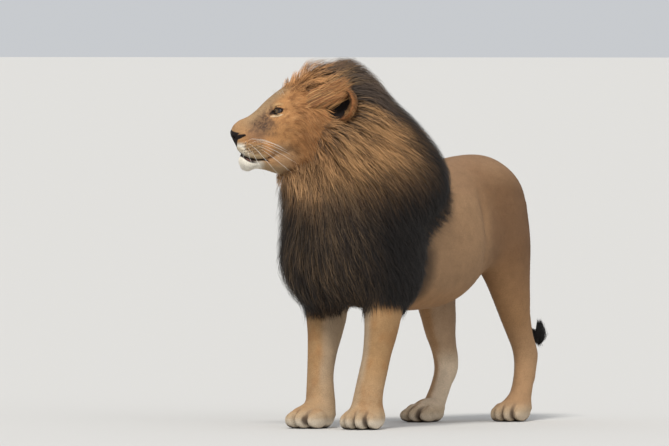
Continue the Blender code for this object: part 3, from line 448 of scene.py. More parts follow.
def nets(F, lo, step):
    """One corner in every grid cell the surface passes through, one face on every grid edge it crosses."""
    lo = np.array(lo, float)
    inside = F < 0
    cell = np.array(F.shape) - 1
    total = np.zeros(tuple(cell) + (3,), np.float32)
    count = np.zeros(tuple(cell), np.uint8)
    crossing = []
    for a in range(3):
        one, two = [slice(None)] * 3, [slice(None)] * 3
        one[a], two[a] = slice(0, -1), slice(1, None)
        A, B = F[tuple(one)], F[tuple(two)]
        cross = inside[tuple(one)] != inside[tuple(two)]
        at = np.argwhere(cross)
        t = A[cross] / (A[cross] - B[cross])
        pos = at.astype(np.float32)
        pos[:, a] += t
        crossing.append((at, inside[tuple(one)][cross]))
        b, c = [k for k in range(3) if k != a]
        for db in (0, -1):
            for dc in (0, -1):
                w = at.copy()
                w[:, b] += db
                w[:, c] += dc
                ok = ((w >= 0) & (w < cell)).all(1)
                w = w[ok]
                np.add.at(total, (w[:, 0], w[:, 1], w[:, 2]), pos[ok])
                np.add.at(count, (w[:, 0], w[:, 1], w[:, 2]), 1)
    live = count > 0
    number = np.full(tuple(cell), -1, np.int64)
    number[live] = np.arange(live.sum())
    pts = total[live] / count[live][:, None] * step + lo
    faces = []
    for a, (at, was_in) in enumerate(crossing):
        b, c = [k for k in range(3) if k != a]
        quad = []
        for db, dc in ((-1, -1), (0, -1), (0, 0), (-1, 0)):
            w = at.copy()
            w[:, b] += db
            w[:, c] += dc
            w = np.clip(w, 0, cell - 1)
            quad.append(number[w[:, 0], w[:, 1], w[:, 2]])
        quad = np.stack(quad, 1)
        flip = was_in if a != 1 else ~was_in
        quad[~flip] = quad[~flip][:, ::-1]
        faces.append(quad)
    faces = np.concatenate(faces)
    return pts, faces[(faces >= 0).all(1)]


def gradient(fn, P, h=0.0008):
    g = np.empty_like(P)
    for a in range(3):
        e = np.zeros(3)
        e[a] = h
        g[:, a] = (read_field(fn, P + e) - read_field(fn, P - e)) / (2 * h)
    return g


def surface(fn, lo, hi, step, levels=3, settle=0):
    pts, quads = nets(grid_field(fn, lo, hi, step, levels), lo, step)
    for k in range(settle):
        g = gradient(fn, pts)
        d = read_field(fn, pts) / np.maximum((g * g).sum(1), 0.05)
        pts = pts - np.clip(d, -step, step)[:, None] * g
    return pts, quads


# ---------------------------------------------------------------- placing
LO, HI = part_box("eye_left")
SHIFT = np.array((LO + HI) / 2)
_f, _l, _u = head_axes()
SHIFT = SHIFT - (np.array(HEAD_AT) + EYE_AT[0] * _f + EYE_AT[1] * _l + EYE_AT[2] * _u)
HEAD_R = np.stack([_f, _l, _u], 1)          # columns: forward, left, up
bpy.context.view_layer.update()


def at_head(a, b, c):
    return np.array(HEAD_AT) + HEAD_R @ np.array((a, b, c))


def smooth(x, a, b):
    t = np.clip((x - a) / (b - a), 0, 1)
    return t * t * (3 - 2 * t)


def lin(*rgb):
    c = np.array(rgb, float) / 255
    return np.where(c <= 0.04045, c / 12.92, ((c + 0.055) / 1.055) ** 2.4)


def unit(v):
    return v / np.maximum(np.linalg.norm(v, axis=-1, keepdims=True), 1e-9)


def hash3(i, seed):
    i = i.astype(np.int64)
    n = (i[..., 0] * 73856093) ^ (i[..., 1] * 19349663) ^ (i[..., 2] * 83492791) ^ (seed * 2654435761)
    n = (n ^ (n >> 13)) * 1274126177 & 0x7fffffff
    n = (n ^ (n >> 16)) & 0xffffff
    return n / float(0xffffff)


def noise(P, size, seed=0):
    """Smooth noise between 0 and 1 with features of the given size."""
    q = np.asarray(P, float) / size
    i = np.floor(q).astype(np.int64)
    t = q - i
    t = t * t * (3 - 2 * t)
    out = np.zeros(len(q))
    for c in itertools.product((0, 1), repeat=3):
        w = np.ones(len(q))
        for a in range(3):
            w = w * (t[:, a] if c[a] else 1 - t[:, a])
        out += w * hash3(i + np.array(c), seed)
    return out


def fbm(P, size, seed=0):
    return noise(P, size, seed) * 0.55 + noise(P, size * 0.47, seed + 1) * 0.3 + noise(P, size * 0.21, seed + 2) * 0.15


# ---------------------------------------------------------------- the skin's shape
MOUTH = ((0.190, -0.192), (0.212, -0.186), (0.232, -0.179), (0.264, -0.1795), (0.285, -0.176), (0.300, -0.169), (0.317, -0.154), (0.330, -0.148))


def mouth_gap(q):
    """Height above the line where the lips meet."""
    return q[:, 2] - spline(MOUTH, q[:, 0], 1)[0]


def leather(q):
    """Above 0 on the nose leather, in metres from its edge."""
    ql = np.abs(q[:, 1])
    top = -0.071 - 0.12 * (0.353 - q[:, 0]) - q[:, 2] + 0.004 * np.cos(ql / 0.012)
    low = (q[:, 2] + 0.084 + 1.65 * (q[:, 0] - 0.2955)) / 1.93
    w = np.interp(q[:, 2], (-0.134, -0.118, -0.100, -0.075), (0.002, 0.013, 0.029, 0.038))
    pad = np.minimum(np.minimum(top, low), w - ql)
    # the wing runs back beside the nostril
    t = np.clip((0.326 - q[:, 0]) / 0.018, 0, 1)
    wing = 0.0085 - 0.0045 * t - np.sqrt((q[:, 0] - 0.326 + 0.018 * t) ** 2 + (q[:, 2] + 0.093 - 0.006 * t) ** 2)
    return np.maximum(pad, np.minimum(wing, ql - 0.022))


def eye_frame(e):
    """Along the eye's look, across and up, for offsets from its middle."""
    look = unit(np.array(EYE_LOOK))
    side = unit(np.cross((0.0, 0.0, 1.0), look))
    up = np.cross(look, side)
    return look, side, up, e @ look, e @ side, e @ up


def lid_gap(es, eu):
    """Below 0 in the opening between the lids, in eye radii."""
    a = es / EYE_R
    b = (eu - 0.16 * es) / EYE_R
    top = 0.40 * (1 - np.clip(np.abs(a - 0.10), 0, 1) ** 2.4)
    low = -0.42 * (1 - np.clip(np.abs(a + 0.05), 0, 1) ** 2.0)
    return np.maximum(np.maximum(b - top, low - b), np.abs(a) - 0.98), a, b


def face_details(q, d):
    """Lids, nostrils, the groove under the nose and the lips, on the plain head."""
    q = np.stack([q[:, 0], np.abs(q[:, 1]), q[:, 2]], 1)
    near = (q[:, 0] > 0.12) & (q[:, 2] > -0.28) & (q[:, 2] < 0.12) & (q[:, 1] < 0.14)
    if not near.any():
        return d
    p = q[near]
    k = d[near]
    # eye: a hollow, then lids with an almond opening
    E = np.array(EYE_AT)
    e = p - E
    r = np.sqrt((e ** 2).sum(1))
    look, side, up, ef, es, eu = eye_frame(e)
    k = smax(k, -(r - EYE_R - 0.0010), 0.004)
    gap, a, b = lid_gap(es, eu)
    slit = np.maximum(gap * EYE_R, -ef)
    lid = smax(r - EYE_R - 0.0036, -(slit), 0.0016)
    lid = np.maximum(lid, -(r - EYE_R - 0.0004))
    k = smin(k, lid, 0.0045)
    k = smax(k, -np.maximum(slit, np.abs(r - EYE_R - 0.006) - 0.012), 0.0016)
    # fold over the upper lid, and one under the lower
    crease = np.exp(-((b - 1.00 + 0.35 * (a - 0.1) ** 2) / 0.10) ** 2) + 0.7 * np.exp(-((b + 1.02 - 0.30 * a ** 2) / 0.10) ** 2)
    k = k + 0.0016 * crease * (1 - smooth(np.abs(a), 0.6, 1.0)) * (1 - smooth(r, 0.026, 0.034))
    # tear line towards the nose
    k = smax(k, -cone(p, E + look * 0.014 - side * 0.017 + up * -0.003, E + look * 0.022 - side * 0.029 + up * -0.014, 0.0030, 0.0012), 0.003)
    # lips: a slot along the mouth, a full upper edge, the lower lip's dark rim
    m = mouth_gap(p)
    along = smooth(p[:, 0], 0.205, 0.225)
    k = k - 0.0030 * np.exp(-((m - 0.011) / 0.0075) ** 2) * smooth(p[:, 0], 0.225, 0.265)
    rim = smooth(p[:, 0], 0.245, 0.280) * (1 - smooth(p[:, 0], 0.312, 0.324))
    k = k - 0.0026 * np.exp(-((m + 0.0075) / 0.0045) ** 2) * rim
    slot = np.maximum(np.abs(m + 0.0005) - 0.0016, -(k + 0.0090)) + (1 - along) * 0.02
    k = smax(k, -slot, 0.0030)
    # nose leather stands a little proud, with a rounded edge
    pad = leather(p)
    k = k - 0.0022 * smooth(pad, -0.001, 0.004) * (p[:, 0] > 0.25)
    # nostrils: a hole opening forward and a slit curling out to the side
    k = smax(k, -cone(p, (0.358, 0.0150, -0.0960), (0.326, 0.0140, -0.0900), 0.0070, 0.0050), 0.004)
    k = smax(k, -cone(p, (0.346, 0.0200, -0.1010), (0.324, 0.0370, -0.1000), 0.0042, 0.0030), 0.004)
    k = smax(k, -cone(p, (0.326, 0.0370, -0.1000), (0.308, 0.0420, -0.0900), 0.0032, 0.0022), 0.004)
    # groove from the nose to the lip
    k = smax(k, -cone(p, (0.352, 0.0, -0.108), (0.320, 0.0, -0.160), 0.0034, 0.0040), 0.005)
    # soft rows of the whisker pads
    row = np.sin((p[:, 2] + 0.30 * p[:, 0]) * 2 * math.pi / 0.0125)
    pads = smooth(p[:, 0], 0.225, 0.255) * (1 - smooth(p[:, 0], 0.312, 0.330)) * smooth(p[:, 2], -0.162, -0.150) * (1 - smooth(p[:, 2], -0.100, -0.085)) * smooth(p[:, 1], 0.02, 0.035)
    k = k - 0.0006 * row * pads
    out = d.copy()
    out[near] = k
    return out


def depth_of_coat(P, q):
    """How far the skin lies under the tips of the short coat."""
    face = smooth(q[:, 0], 0.04, 0.16) * smooth(-np.abs(q[:, 1]), -0.17, -0.13) * smooth(q[:, 2], -0.30, -0.26)
    nose = smooth(q[:, 0], 0.20, 0.31) * face
    feet = 1 - smooth(P[:, 2], 0.05, 0.30)
    return 0.0038 - 0.0010 * face - 0.0018 * nose - 0.0012 * feet * (1 - face)


def skin_field(P):
    q = to_head(P)
    d = trunk(P)
    for s in (1, -1):
        d = smin(d, ball(P, (s * 0.105, 0.40, 0.82), (0.085, 0.170, 0.150)), 0.05)
        d = smin(d, ball(P, (s * 0.130, -0.33, 0.80), (0.085, 0.130, 0.230)), 0.05)
    low = P[:, 2] < 0.98
    for side in ("left", "right"):
        s = 1 if side == "left" else -1
        for table in (HIND, FORE):
            t = np.full(len(P), 1.0)
            t[low] = limb(P[low], table[side])
            d = smin(d, t, 0.035)
        z = HIND[side]
        hx, hy = z[9][1], z[9][2]
        d = smin(d, cone(P, (hx, hy + 0.038, 0.262), (hx, hy + 0.014, 0.17), 0.021, 0.028), 0.02)
        d = smin(d, cone(P, (hx, hy + 0.040, 0.265), (hx * 1.02, hy - 0.025, 0.44), 0.017, 0.030), 0.02)
        e = FORE[side]
        d = smin(d, ball(P, (e[3][1], e[3][2] + 0.07, 0.50), (0.04, 0.045, 0.07)), 0.03)
        d = smin(d, ball(P, (s * 0.160, 0.235, 0.70), (0.035, 0.075, 0.09)), 0.05)
    c = np.array(HEAD_AT)
    d = smin(d, cone(P, c + (0, 0.03, -0.05), (0, -0.34, 0.84), 0.125, 0.185), 0.08)
    d = smin(d, head_local(q), 0.018)
    feet = P[:, 2] < 0.25
    for name in PAWS:
        t = np.full(len(P), 1.0)
        t[feet] = paw(P[feet], name)
        d = smin(d, t, 0.022)
    d = smin(d, ball(P, (0, 0.53, 0.79), (0.07, 0.085, 0.12)), 0.04)
    d = smin(d, tail(P), 0.02)
    # the fold where the flank meets the thigh, and the hollow behind the shoulder
    for px, py, pz, qx, qy, qz, r, deep in ((0.205, 0.200, 0.955, 0.190, 0.165, 0.640, 0.024, 0.0120), (0.20, -0.02, 0.93, 0.19, -0.08, 0.66, 0.05, 0.004),
                                            (0.17, 0.47, 0.50, 0.155, 0.44, 0.30, 0.018, 0.004)):
        m = np.stack([np.abs(P[:, 0]), P[:, 1], P[:, 2]], 1)
        far = cone(m, (px, py, pz), (qx, qy, qz), 0.0005, 0.0005)
        d = d + deep * np.exp(-(far / r) ** 2)
    d = d + depth_of_coat(P, q)
    d = smin(d, mane(P) + 0.048, 0.05)
    near = (q[:, 0] < 0.06) & (q[:, 2] > -0.06) & (q[:, 0] > -0.16)
    if near.any():
        e = np.full(len(P), 1.0)
        e[near] = ear_local(q[near]) + 0.0015
        d = smin(d, e, 0.010)
        e[near] = -ear_hollow(q[near]) - 0.0015
        d = smax(d, np.where(near, e, -1.0), 0.006)
    d = face_details(q, d)
    return smax(d, 0.0012 - P[:, 2], 0.003)


def hull(P):
    """The outer shape, at the tips of the coat."""
    return body(P)


def axis_marks(parts):
    """Marks along one axis whose spacing changes slowly: (to, spacing) from the first number on."""
    x, marks = parts[0], [parts[0]]
    step = parts[1][1]
    for to, want in parts[1:]:
        while x < to:
            step += (want - step) * 0.25
            x += step
            marks.append(x)
    return np.array(marks)


def warped_surface(fn, X, Y, Z, levels=3):
    """Reads fn on a grid with uneven spacing, coarse first, and surfaces it."""
    K = 2 ** levels
    axes = []
    for m in (X, Y, Z):
        extra = (-(len(m) - 1)) % K
        axes.append(np.concatenate([m, m[-1] + (m[-1] - m[-2]) * np.arange(1, extra + 1)]))
    n = [len(m) for m in axes]
    big = max(np.diff(m).max() for m in axes)
    G = np.stack(np.meshgrid(*[m[::K] for m in axes], indexing="ij"), -1)
    F = read_field(fn, G.reshape(-1, 3)).reshape(G.shape[:3]).astype(np.float32)
    while K > 1:
        K //= 2
        for a in range(3):
            m = F.shape[a]
            shape = list(F.shape)
            shape[a] = 2 * m - 1
            new = np.empty(shape, np.float32)
            at, one, two = [slice(None)] * 3, [slice(None)] * 3, [slice(None)] * 3
            at[a] = slice(0, None, 2)
            new[tuple(at)] = F
            at[a], one[a], two[a] = slice(1, None, 2), slice(0, m - 1), slice(1, m)
            new[tuple(at)] = (F[tuple(one)] + F[tuple(two)]) / 2
            F = new
        near = np.abs(F) < big * K * (1.7 if K > 1 else 1.3)
        i = np.argwhere(near)
        P = np.stack([axes[a][::K][i[:, a]] for a in range(3)], 1)
        F[near] = read_field(fn, P)
    pts, quads = nets(F, (0.0, 0.0, 0.0), 1.0)
    pts = np.stack([np.interp(pts[:, a], np.arange(n[a]), axes[a]) for a in range(3)], 1)
    return pts, quads


def settle(fn, pts, rounds=2, limit=0.004):
    for k in range(rounds):
        g = gradient(fn, pts, 0.0006)
        d = read_field(fn, pts) / np.maximum((g * g).sum(1), 0.1)
        pts = pts - np.clip(d, -limit, limit)[:, None] * g
    return pts


def new_mesh(name, pts, faces, smooth_shade=True, shift=True):
    """A mesh object from arrays: all triangles or all quads."""
    faces = np.asarray(faces, np.int32)
    me = bpy.data.meshes.new(name)
    me.vertices.add(len(pts))
    me.vertices.foreach_set("co", (np.asarray(pts) + (SHIFT if shift else 0)).astype(np.float32).ravel())
    k = faces.shape[1]
    me.loops.add(faces.size)
    me.loops.foreach_set("vertex_index", faces.ravel())
    me.polygons.add(len(faces))
    me.polygons.foreach_set("loop_start", np.arange(len(faces), dtype=np.int32) * k)
    me.update(calc_edges=True)
    if smooth_shade:
        me.shade_smooth()
    o = bpy.data.objects.new(name, me)
    bpy.context.scene.collection.objects.link(o)
    return o


def paint(o, colours, name="coat"):
    a = o.data.color_attributes.new(name, "FLOAT_COLOR", "POINT")
    rgba = np.ones((len(colours), 4), np.float32)
    rgba[:, :3] = colours
    a.data.foreach_set("color", rgba.ravel())


def refine(o, where, cuts=1):
    """Splits the faces for which where(centre) holds."""
    bm = bmesh.new()
    bm.from_mesh(o.data)
    mid = np.array([f.calc_center_median()[:] for f in bm.faces]) - SHIFT
    keep = where(mid)
    bm.faces.ensure_lookup_table()
    edges = {e for f, k in zip(bm.faces, keep) if k for e in f.edges}
    bmesh.ops.subdivide_edges(bm, edges=list(edges), cuts=cuts, use_grid_fill=True)
    bm.to_mesh(o.data)
    bm.free()


def corners_of(o):
    co = np.empty(len(o.data.vertices) * 3, np.float32)
    o.data.vertices.foreach_get("co", co)
    return co.reshape(-1, 3).astype(float) - SHIFT


def set_corners(o, pts):
    o.data.vertices.foreach_set("co", (pts + SHIFT).astype(np.float32).ravel())
    o.data.update()


def make_skin():
    X = axis_marks((-0.40, (-0.345, 0.009), (0.115, 0.0072), (0.38, 0.0090)))
    Y = axis_marks((-0.90, (-0.87, 0.008), (-0.42, 0.0066), (0.88, 0.0105)))
    Z = axis_marks((-0.012, (0.10, 0.0070), (0.95, 0.0105), (1.40, 0.0066), (1.46, 0.0066)))
    pts, quads = warped_surface(skin_field, X, Y, Z)
    o = new_mesh("skin", pts, quads)

    def face(m):
        q = to_head(m)
        return (q[:, 0] > 0.14) & (np.abs(q[:, 1]) < 0.12) & (q[:, 2] > -0.27)

    def small(m):
        q = to_head(m)
        q[:, 1] = np.abs(q[:, 1])
        eye = np.sqrt(((q - np.array(EYE_AT)) ** 2).sum(1)) < 0.040
        nose = (q[:, 0] > 0.285) & (q[:, 2] < -0.055) & (q[:, 2] > -0.165)
        lips = (q[:, 0] > 0.200) & (np.abs(mouth_gap(q)) < 0.024)
        return eye | nose | lips

    def tiny(m):
        q = to_head(m)
        q[:, 1] = np.abs(q[:, 1])
        return np.sqrt(((q - np.array(EYE_AT)) ** 2).sum(1)) < 0.027

    def ears(m):
        q = to_head(m)
        q[:, 1] = np.abs(q[:, 1])
        return (np.sqrt(((q - np.array((-0.045, 0.13, 0.03))) ** 2).sum(1)) < 0.085)

    refine(o, lambda m: face(m) | ears(m) | (m[:, 2] < 0.075))
    refine(o, small)
    refine(o, lambda m: tiny(m))
    p = corners_of(o)
    new = face(p) | ears(p) | (p[:, 2] < 0.080)
    p[new] = settle(skin_field, p[new], 2, 0.004)
    set_corners(o, p)
    return o


# ---------------------------------------------------------------- markings
TAN = lin(146, 115, 85)
BACK = lin(138, 107, 80)
# belly: its own colour darkened to painted shade, for the shade under the body
BELLY_WITH_SHADE = lin(146, 110, 75)
# rump and thigh: their reddish-brown, darkened further with painted shade
RUMP_WITH_SHADE = lin(104, 74, 49)
GINGER = lin(180, 122, 74)
FACE = lin(178, 130, 84)
BRIDGE = lin(156, 128, 96)
MUZZLE = lin(146, 119, 87)
WHITE = lin(232, 224, 208)
NOSE = lin(34, 27, 26)
LIPS = lin(44, 30, 26)
FORELEG = lin(158, 124, 86)
INNER = lin(176, 162, 142)
PAW = lin(174, 152, 124)
CREST = lin(226, 166, 108)
GOLD = lin(200, 153, 103)
BROWN = lin(104, 76, 50)
GREY = lin(92, 76, 64)
DARK = lin(40, 32, 27)
STREAK = lin(116, 94, 70)
BLACK = lin(19, 15, 14)


def mix(a, b, t):
    t = np.asarray(t)[:, None]
    return a * (1 - t) + b * t


def mane_zone(P):
    """1 where the long hair grows, 0 on the short coat."""
    return smooth(-mane(P), 0.002, 0.016)


def along(P, q):
    """How far back a point lies, the same for both sides: by the head near it, by the body further off."""
    near = np.array(HEAD_AT) + np.stack([q[:, 0], np.abs(q[:, 1]), q[:, 2]], 1) @ HEAD_R.T
    k = smooth(np.linalg.norm(P - at_head(0.0, 0.0, 0.0), axis=1), 0.22, 0.42)
    far = 0.839 * np.abs(P[:, 0]) + 0.545 * P[:, 1]
    return (0.839 * near[:, 0] + 0.545 * near[:, 1]) * (1 - k) + far * k


def mane_colour(P, shade):
    """Colour of the long hair at P; shade is a random number for each lock."""
    q = to_head(P)
    n = fbm(P, 0.11, 11) - 0.5
    m = noise(P, 0.035, 23) - 0.5
    h = along(P, q)
    z = P[:, 2]
    w = n * 0.09 + (shade - 0.5) * 0.125
    low = smooth(-(z + w) + np.interp(h, (-0.52, -0.40, -0.28, -0.13, 0.0), (0.795, 0.835, 0.918, 0.928, 0.960)), -0.035, 0.035)
    far = smooth(h + w * 0.7 - np.interp(z, (0.90, 0.98, 1.06, 1.16), (0.000, 0.016, -0.006, -0.062)), -0.030, 0.035)
    high = smooth(z + w * 0.6 - np.interp(h, (-0.45, -0.40, -0.33, -0.27, -0.235, -0.01), (1.415, 1.382, 1.374, 1.348, 1.240, 1.135)), -0.022, 0.026)
    ridge = smooth(-np.abs(P[:, 0]) + w, -0.17, -0.10) * smooth(P[:, 1], -0.42, -0.32) * smooth(z, 0.92, 1.0)
    high = np.maximum(high, ridge)
    dark = np.maximum(np.maximum(low, far), high)
    # ginger round the face and on the front of the crest, golden behind, browner under the jaw
    gold = smooth(h + w * 0.5, -0.34, -0.27)
    c = mix(np.tile(FACE, (len(P), 1)), GOLD, gold)
    c = mix(c, CREST, (1 - gold) * smooth(z, 1.14, 1.24))
    c = mix(c, lin(216, 168, 118), (1 - gold) * smooth(-z, -1.08, -0.96) * 0.8)
    c = mix(c, lin(214, 174, 120), smooth(z, 1.25, 1.29) * gold * 0.8)
    c = mix(c, BROWN, np.clip(0.08 + 0.95 * (shade > 0.70) + m * 0.7, 0, 1) * (0.75 - 0.30 * (1 - gold)))
    c = mix(c, lin(66, 47, 35), (shade > 0.90) * 0.85)
    d = mix(np.tile(DARK, (len(P), 1)), STREAK, np.clip((shade < 0.30) * 0.70 + n * 0.8 + 0.04, 0, 1))
    d = mix(d, GREY, high * (1 - far) * np.clip(0.35 + 0.6 * shade, 0, 1))
    d = mix(d, BLACK, np.clip(far * 0.85 + smooth(h, -0.24, -0.08) * low * 0.95, 0, 0.95))
    return mix(c, d, dark)


def away_face(P):
    return unit(P - at_head(0.25, 0.0, -0.02))


def coat_colour(P, N=None):
    """Colour of the short coat at P."""
    q = to_head(P)
    ql = np.abs(q[:, 1])
    one = np.ones(len(P))
    n = fbm(P, 0.09, 3) - 0.5
    fine = noise(P, 0.018, 5) - 0.5
    top, low, w, nar = spline(TRUNK, P[:, 1], 4)
    h = np.clip((P[:, 2] - low) / (top - low), 0, 1)
    c = np.tile(TAN, (len(P), 1))
    c = mix(c, BACK, smooth(h + n * 0.25, 0.72, 1.0) * 0.8)
    # painted shade: the lower part of the trunk darker, for the shade under the body
    c = mix(c, BELLY_WITH_SHADE, smooth(-h + n * 0.1, -0.22, -0.02) * 0.9)
    # rump and thigh: reddish-brown colour darkened with painted shade where they turn from the light
    c = mix(c, RUMP_WITH_SHADE, smooth(P[:, 1] + n * 0.14, 0.11, 0.33) * smooth(P[:, 2] + n * 0.1, 0.40, 0.70) * smooth(-P[:, 2] + n * 0.06, -1.03, -0.88) * 0.80)
    # hind legs: paler inside and towards the flank, warm outside
    hind = smooth(P[:, 1], 0.05, 0.15) * smooth(-P[:, 2], -0.78, -0.55)
    c = mix(c, lin(166, 132, 98), hind * smooth(-P[:, 2], -0.42, -0.25) * 0.8)
    if N is None:
        inner = smooth(-np.abs(P[:, 0]), -0.135, -0.095)
    else:
        inner = smooth(-np.sign(P[:, 0]) * N[:, 0] + 0.4 * n, 0.30, 0.80)
    c = mix(c, INNER, hind * inner * 0.30)
    # inside of the right hind foot: its pale colour, brightened further with painted light against the shade under the
    # belly
    c = mix(c, lin(214, 194, 168), hind * (P[:, 0] < 0) * smooth(-P[:, 2], -0.30, -0.20) * (0 if N is None else smooth(N[:, 0], -0.25, 0.25)) * 0.90)
    fore = smooth(-P[:, 1], 0.18, 0.26) * smooth(-P[:, 2], -0.52, -0.44)
    c = mix(c, FORELEG, fore)
    if N is not None:
        inner = np.where(P[:, 0] < 0, smooth(N[:, 0] + 0.3 * n, 0.35, 0.85), smooth(-N[:, 0] + 0.3 * n, -0.20, 0.35))
    c = mix(c, INNER, fore * inner * 0.50)
    for mx, my, mz, mr in ((-0.104, -0.418, 0.282, 0.018), (-0.106, -0.414, 0.258, 0.014), (-0.108, -0.408, 0.118, 0.018)):
        c = mix(c, lin(44, 34, 30), smooth(-np.linalg.norm((P - (mx, my, mz)) * (0.6, 0.6, 1.0), axis=1) - fine * 0.006, -mr, -mr * 0.4) * 0.9)
    c = mix(c, DARK, smooth(-P[:, 1], 0.16, 0.24) * smooth(P[:, 2] + n * 0.08, 0.455, 0.500) * smooth(-P[:, 2], -0.72, -0.66) * 0.75)
    c = mix(c, lin(178, 148, 114), fore * smooth(-P[:, 2], -0.26, -0.12) * 0.55)
    c = mix(c, lin(150, 104, 62), fore * smooth(fbm(P, 0.05, 33), 0.46, 0.66) * (1 - inner) * 0.35)
    feet = smooth(-P[:, 2], -0.085, -0.035)
    c = mix(c, PAW, feet * 0.85)
    if N is not None:
        low_toe = feet * smooth(-P[:, 2], -0.050, -0.020)
        c = mix(c, WHITE, low_toe * np.where(P[:, 1] < 0, 0.50, 0.22))
        c = mix(c, lin(52, 42, 36), smooth(-N[:, 2], 0.55, 0.9) * smooth(-P[:, 2], -0.03, -0.008))
        # painted shade in the creases between the toes
        for name in PAWS:
            o0, fa, la = paw_axes(name)
            a, b = (P - o0) @ fa, (P - o0) @ la
            ts = toes(name)
            seat = feet * (np.abs(b) < 0.09) * (np.abs(a) < 0.20)
            for (c0, r0), (c1, r1) in zip(ts[:-1], ts[1:]):
                mid_b, mid_a = (c0[1] + c1[1]) / 2, (c0[0] + c1[0]) / 2
                w = smooth(-np.abs(b - mid_b) - fine * 0.002, -0.0065, -0.0015) * smooth(a - mid_a, -0.6 * r0[0], -0.05 * r0[0]) * seat
                c = mix(c, lin(66, 50, 40), w * (0.85 if P is not None else 0))
    # the painted shade between the toes is drawn above
    # tail: tan, then black at the end
    tl = smooth(P[:, 1], 0.64, 0.67)
    c = mix(c, TAN, tl)
    c = mix(c, BLACK, tl * smooth(-P[:, 2] + (P[:, 0] - 0.06) * 2.0, -0.33, -0.27))
    # head
    hd = smooth(q[:, 0], -0.10, 0.02) * smooth(q[:, 2], -0.34, -0.28) * smooth(-ql, -0.26, -0.2)
    f = np.tile(FACE, (len(P), 1))
    ridge = smooth(-ql, -0.062, -0.022) * smooth(q[:, 2] + (q[:, 0] - 0.15) * 0.86, 0.02, 0.07)
    f = mix(f, BRIDGE, ridge * (1 - 0.4 * smooth(q[:, 0], 0.27, 0.33)))
    f = mix(f, GINGER, smooth(-q[:, 0], -0.17, -0.06) * 0.8)
    # brown-grey field from the eye's inner corner to the muzzle
    drab = smooth(-np.sqrt(((q[:, 0] - 0.247) / 0.062) ** 2 + ((q[:, 2] + 0.052) / 0.058) ** 2), -1.1, -0.35) * smooth(ql, 0.022, 0.040)
    f = mix(f, lin(116, 90, 68), drab * 0.80)
    blot = smooth(fbm(P, 0.011, 61), 0.46, 0.60)
    f = mix(f, lin(86, 66, 54), blot * smooth(q[:, 0], 0.17, 0.21) * smooth(-q[:, 0], -0.31, -0.285) * smooth(q[:, 2], -0.105, -0.075) * smooth(-q[:, 2] - 0.9 * (q[:, 0] - 0.20), -0.045, -0.020) * smooth(ql, 0.018, 0.034) * 0.62)
    wisp = noise(P + 0.3 * away_face(P) * noise(P, 0.03, 8)[:, None] * 0.03, 0.014, 17)
    f = mix(f, lin(116, 74, 44), smooth(wisp, 0.48, 0.72) * smooth(-q[:, 0], -0.21, -0.13) * 0.62)
    f = mix(f, lin(206, 158, 108), smooth(noise(P, 0.010, 19), 0.62, 0.82) * smooth(-q[:, 0], -0.21, -0.13) * 0.45)
    # muzzle: rusty above, golden with dark spots on the pads, white at the lip
    f = mix(f, lin(132, 98, 72), smooth(-np.sqrt(((q[:, 0] - 0.270) / 0.045) ** 2 + ((q[:, 2] + 0.095) / 0.028) ** 2), -1.2, -0.4) * smooth(ql, 0.02, 0.035) * 0.75)
    f = mix(f, MUZZLE, smooth(q[:, 0], 0.215, 0.260) * smooth(-q[:, 2], 0.105, 0.135) * 0.9)
    f = mix(f, lin(150, 122, 92), smooth(-np.sqrt(((q[:, 0] - 0.165) / 0.065) ** 2 + ((q[:, 2] + 0.165) / 0.060) ** 2), -1.1, -0.4) * 0.7)
    m = mouth_gap(q)
    f = mix(f, WHITE, smooth(q[:, 0], 0.270, 0.315) * smooth(-m, -0.030, -0.012) * 0.95)
    f = mix(f, WHITE, smooth(q[:, 0], 0.300, 0.322) * smooth(-q[:, 2], 0.110, 0.128) * 0.9)
    f = mix(f, lin(190, 166, 130), smooth(q[:, 0], 0.200, 0.240) * smooth(-np.abs(m - 0.010), -0.012, -0.004) * 0.6)
    # whisker rows and freckles
    ry = (q[:, 2] + 0.30 * q[:, 0]) / 0.0125
    rows = np.cos(ry * 2 * math.pi)
    cols = np.cos((q[:, 0] - 0.2 * q[:, 2]) * 2 * math.pi / 0.0110 + np.floor(ry) * 2.3)
    spot = smooth(rows * 0.5 + cols * 0.5 + fine * 0.6, 0.42, 0.72)
    pads = smooth(q[:, 0], 0.228, 0.245) * smooth(-q[:, 0], -0.322, -0.308) * smooth(-q[:, 2], 0.098, 0.110) * smooth(q[:, 2], -0.163, -0.156) * smooth(ql, 0.02, 0.03)
    f = mix(f, lin(60, 38, 26), spot * pads * 0.85)
    frk = (noise(P, 0.0065, 77) > 0.78) * smooth(q[:, 0], 0.12, 0.20) * smooth(q[:, 2], -0.11, -0.05)
    f = mix(f, lin(96, 68, 46), frk * 0.35)
    # dark marks under the eye towards the muzzle
    mark = np.zeros(len(P))
    for mf, mu, rf, ru in ((0.232, -0.052, 0.017, 0.013), (0.226, -0.024, 0.012, 0.010), (0.262, -0.047, 0.010, 0.007), (0.262, -0.008, 0.011, 0.006), (0.236, 0.010, 0.005, 0.005)):
        w = np.sqrt(((q[:, 0] - mf) / rf) ** 2 + ((q[:, 2] - mu) / ru) ** 2) + fine * 0.9
        mark = np.maximum(mark, smooth(-w, -1.25, -0.75))
    mark = mark * smooth(ql, 0.020, 0.034)
    f = mix(f, lin(62, 48, 44), mark * smooth(noise(P, 0.0045, 91), 0.35, 0.60) * 0.70)
    # chin, throat
    f = mix(f, lin(164, 136, 102), smooth(-m, 0.000, 0.020) * smooth(q[:, 0], 0.10, 0.18))
    f = mix(f, WHITE, smooth(-m, 0.003, 0.010) * smooth(q[:, 0], 0.222, 0.262))
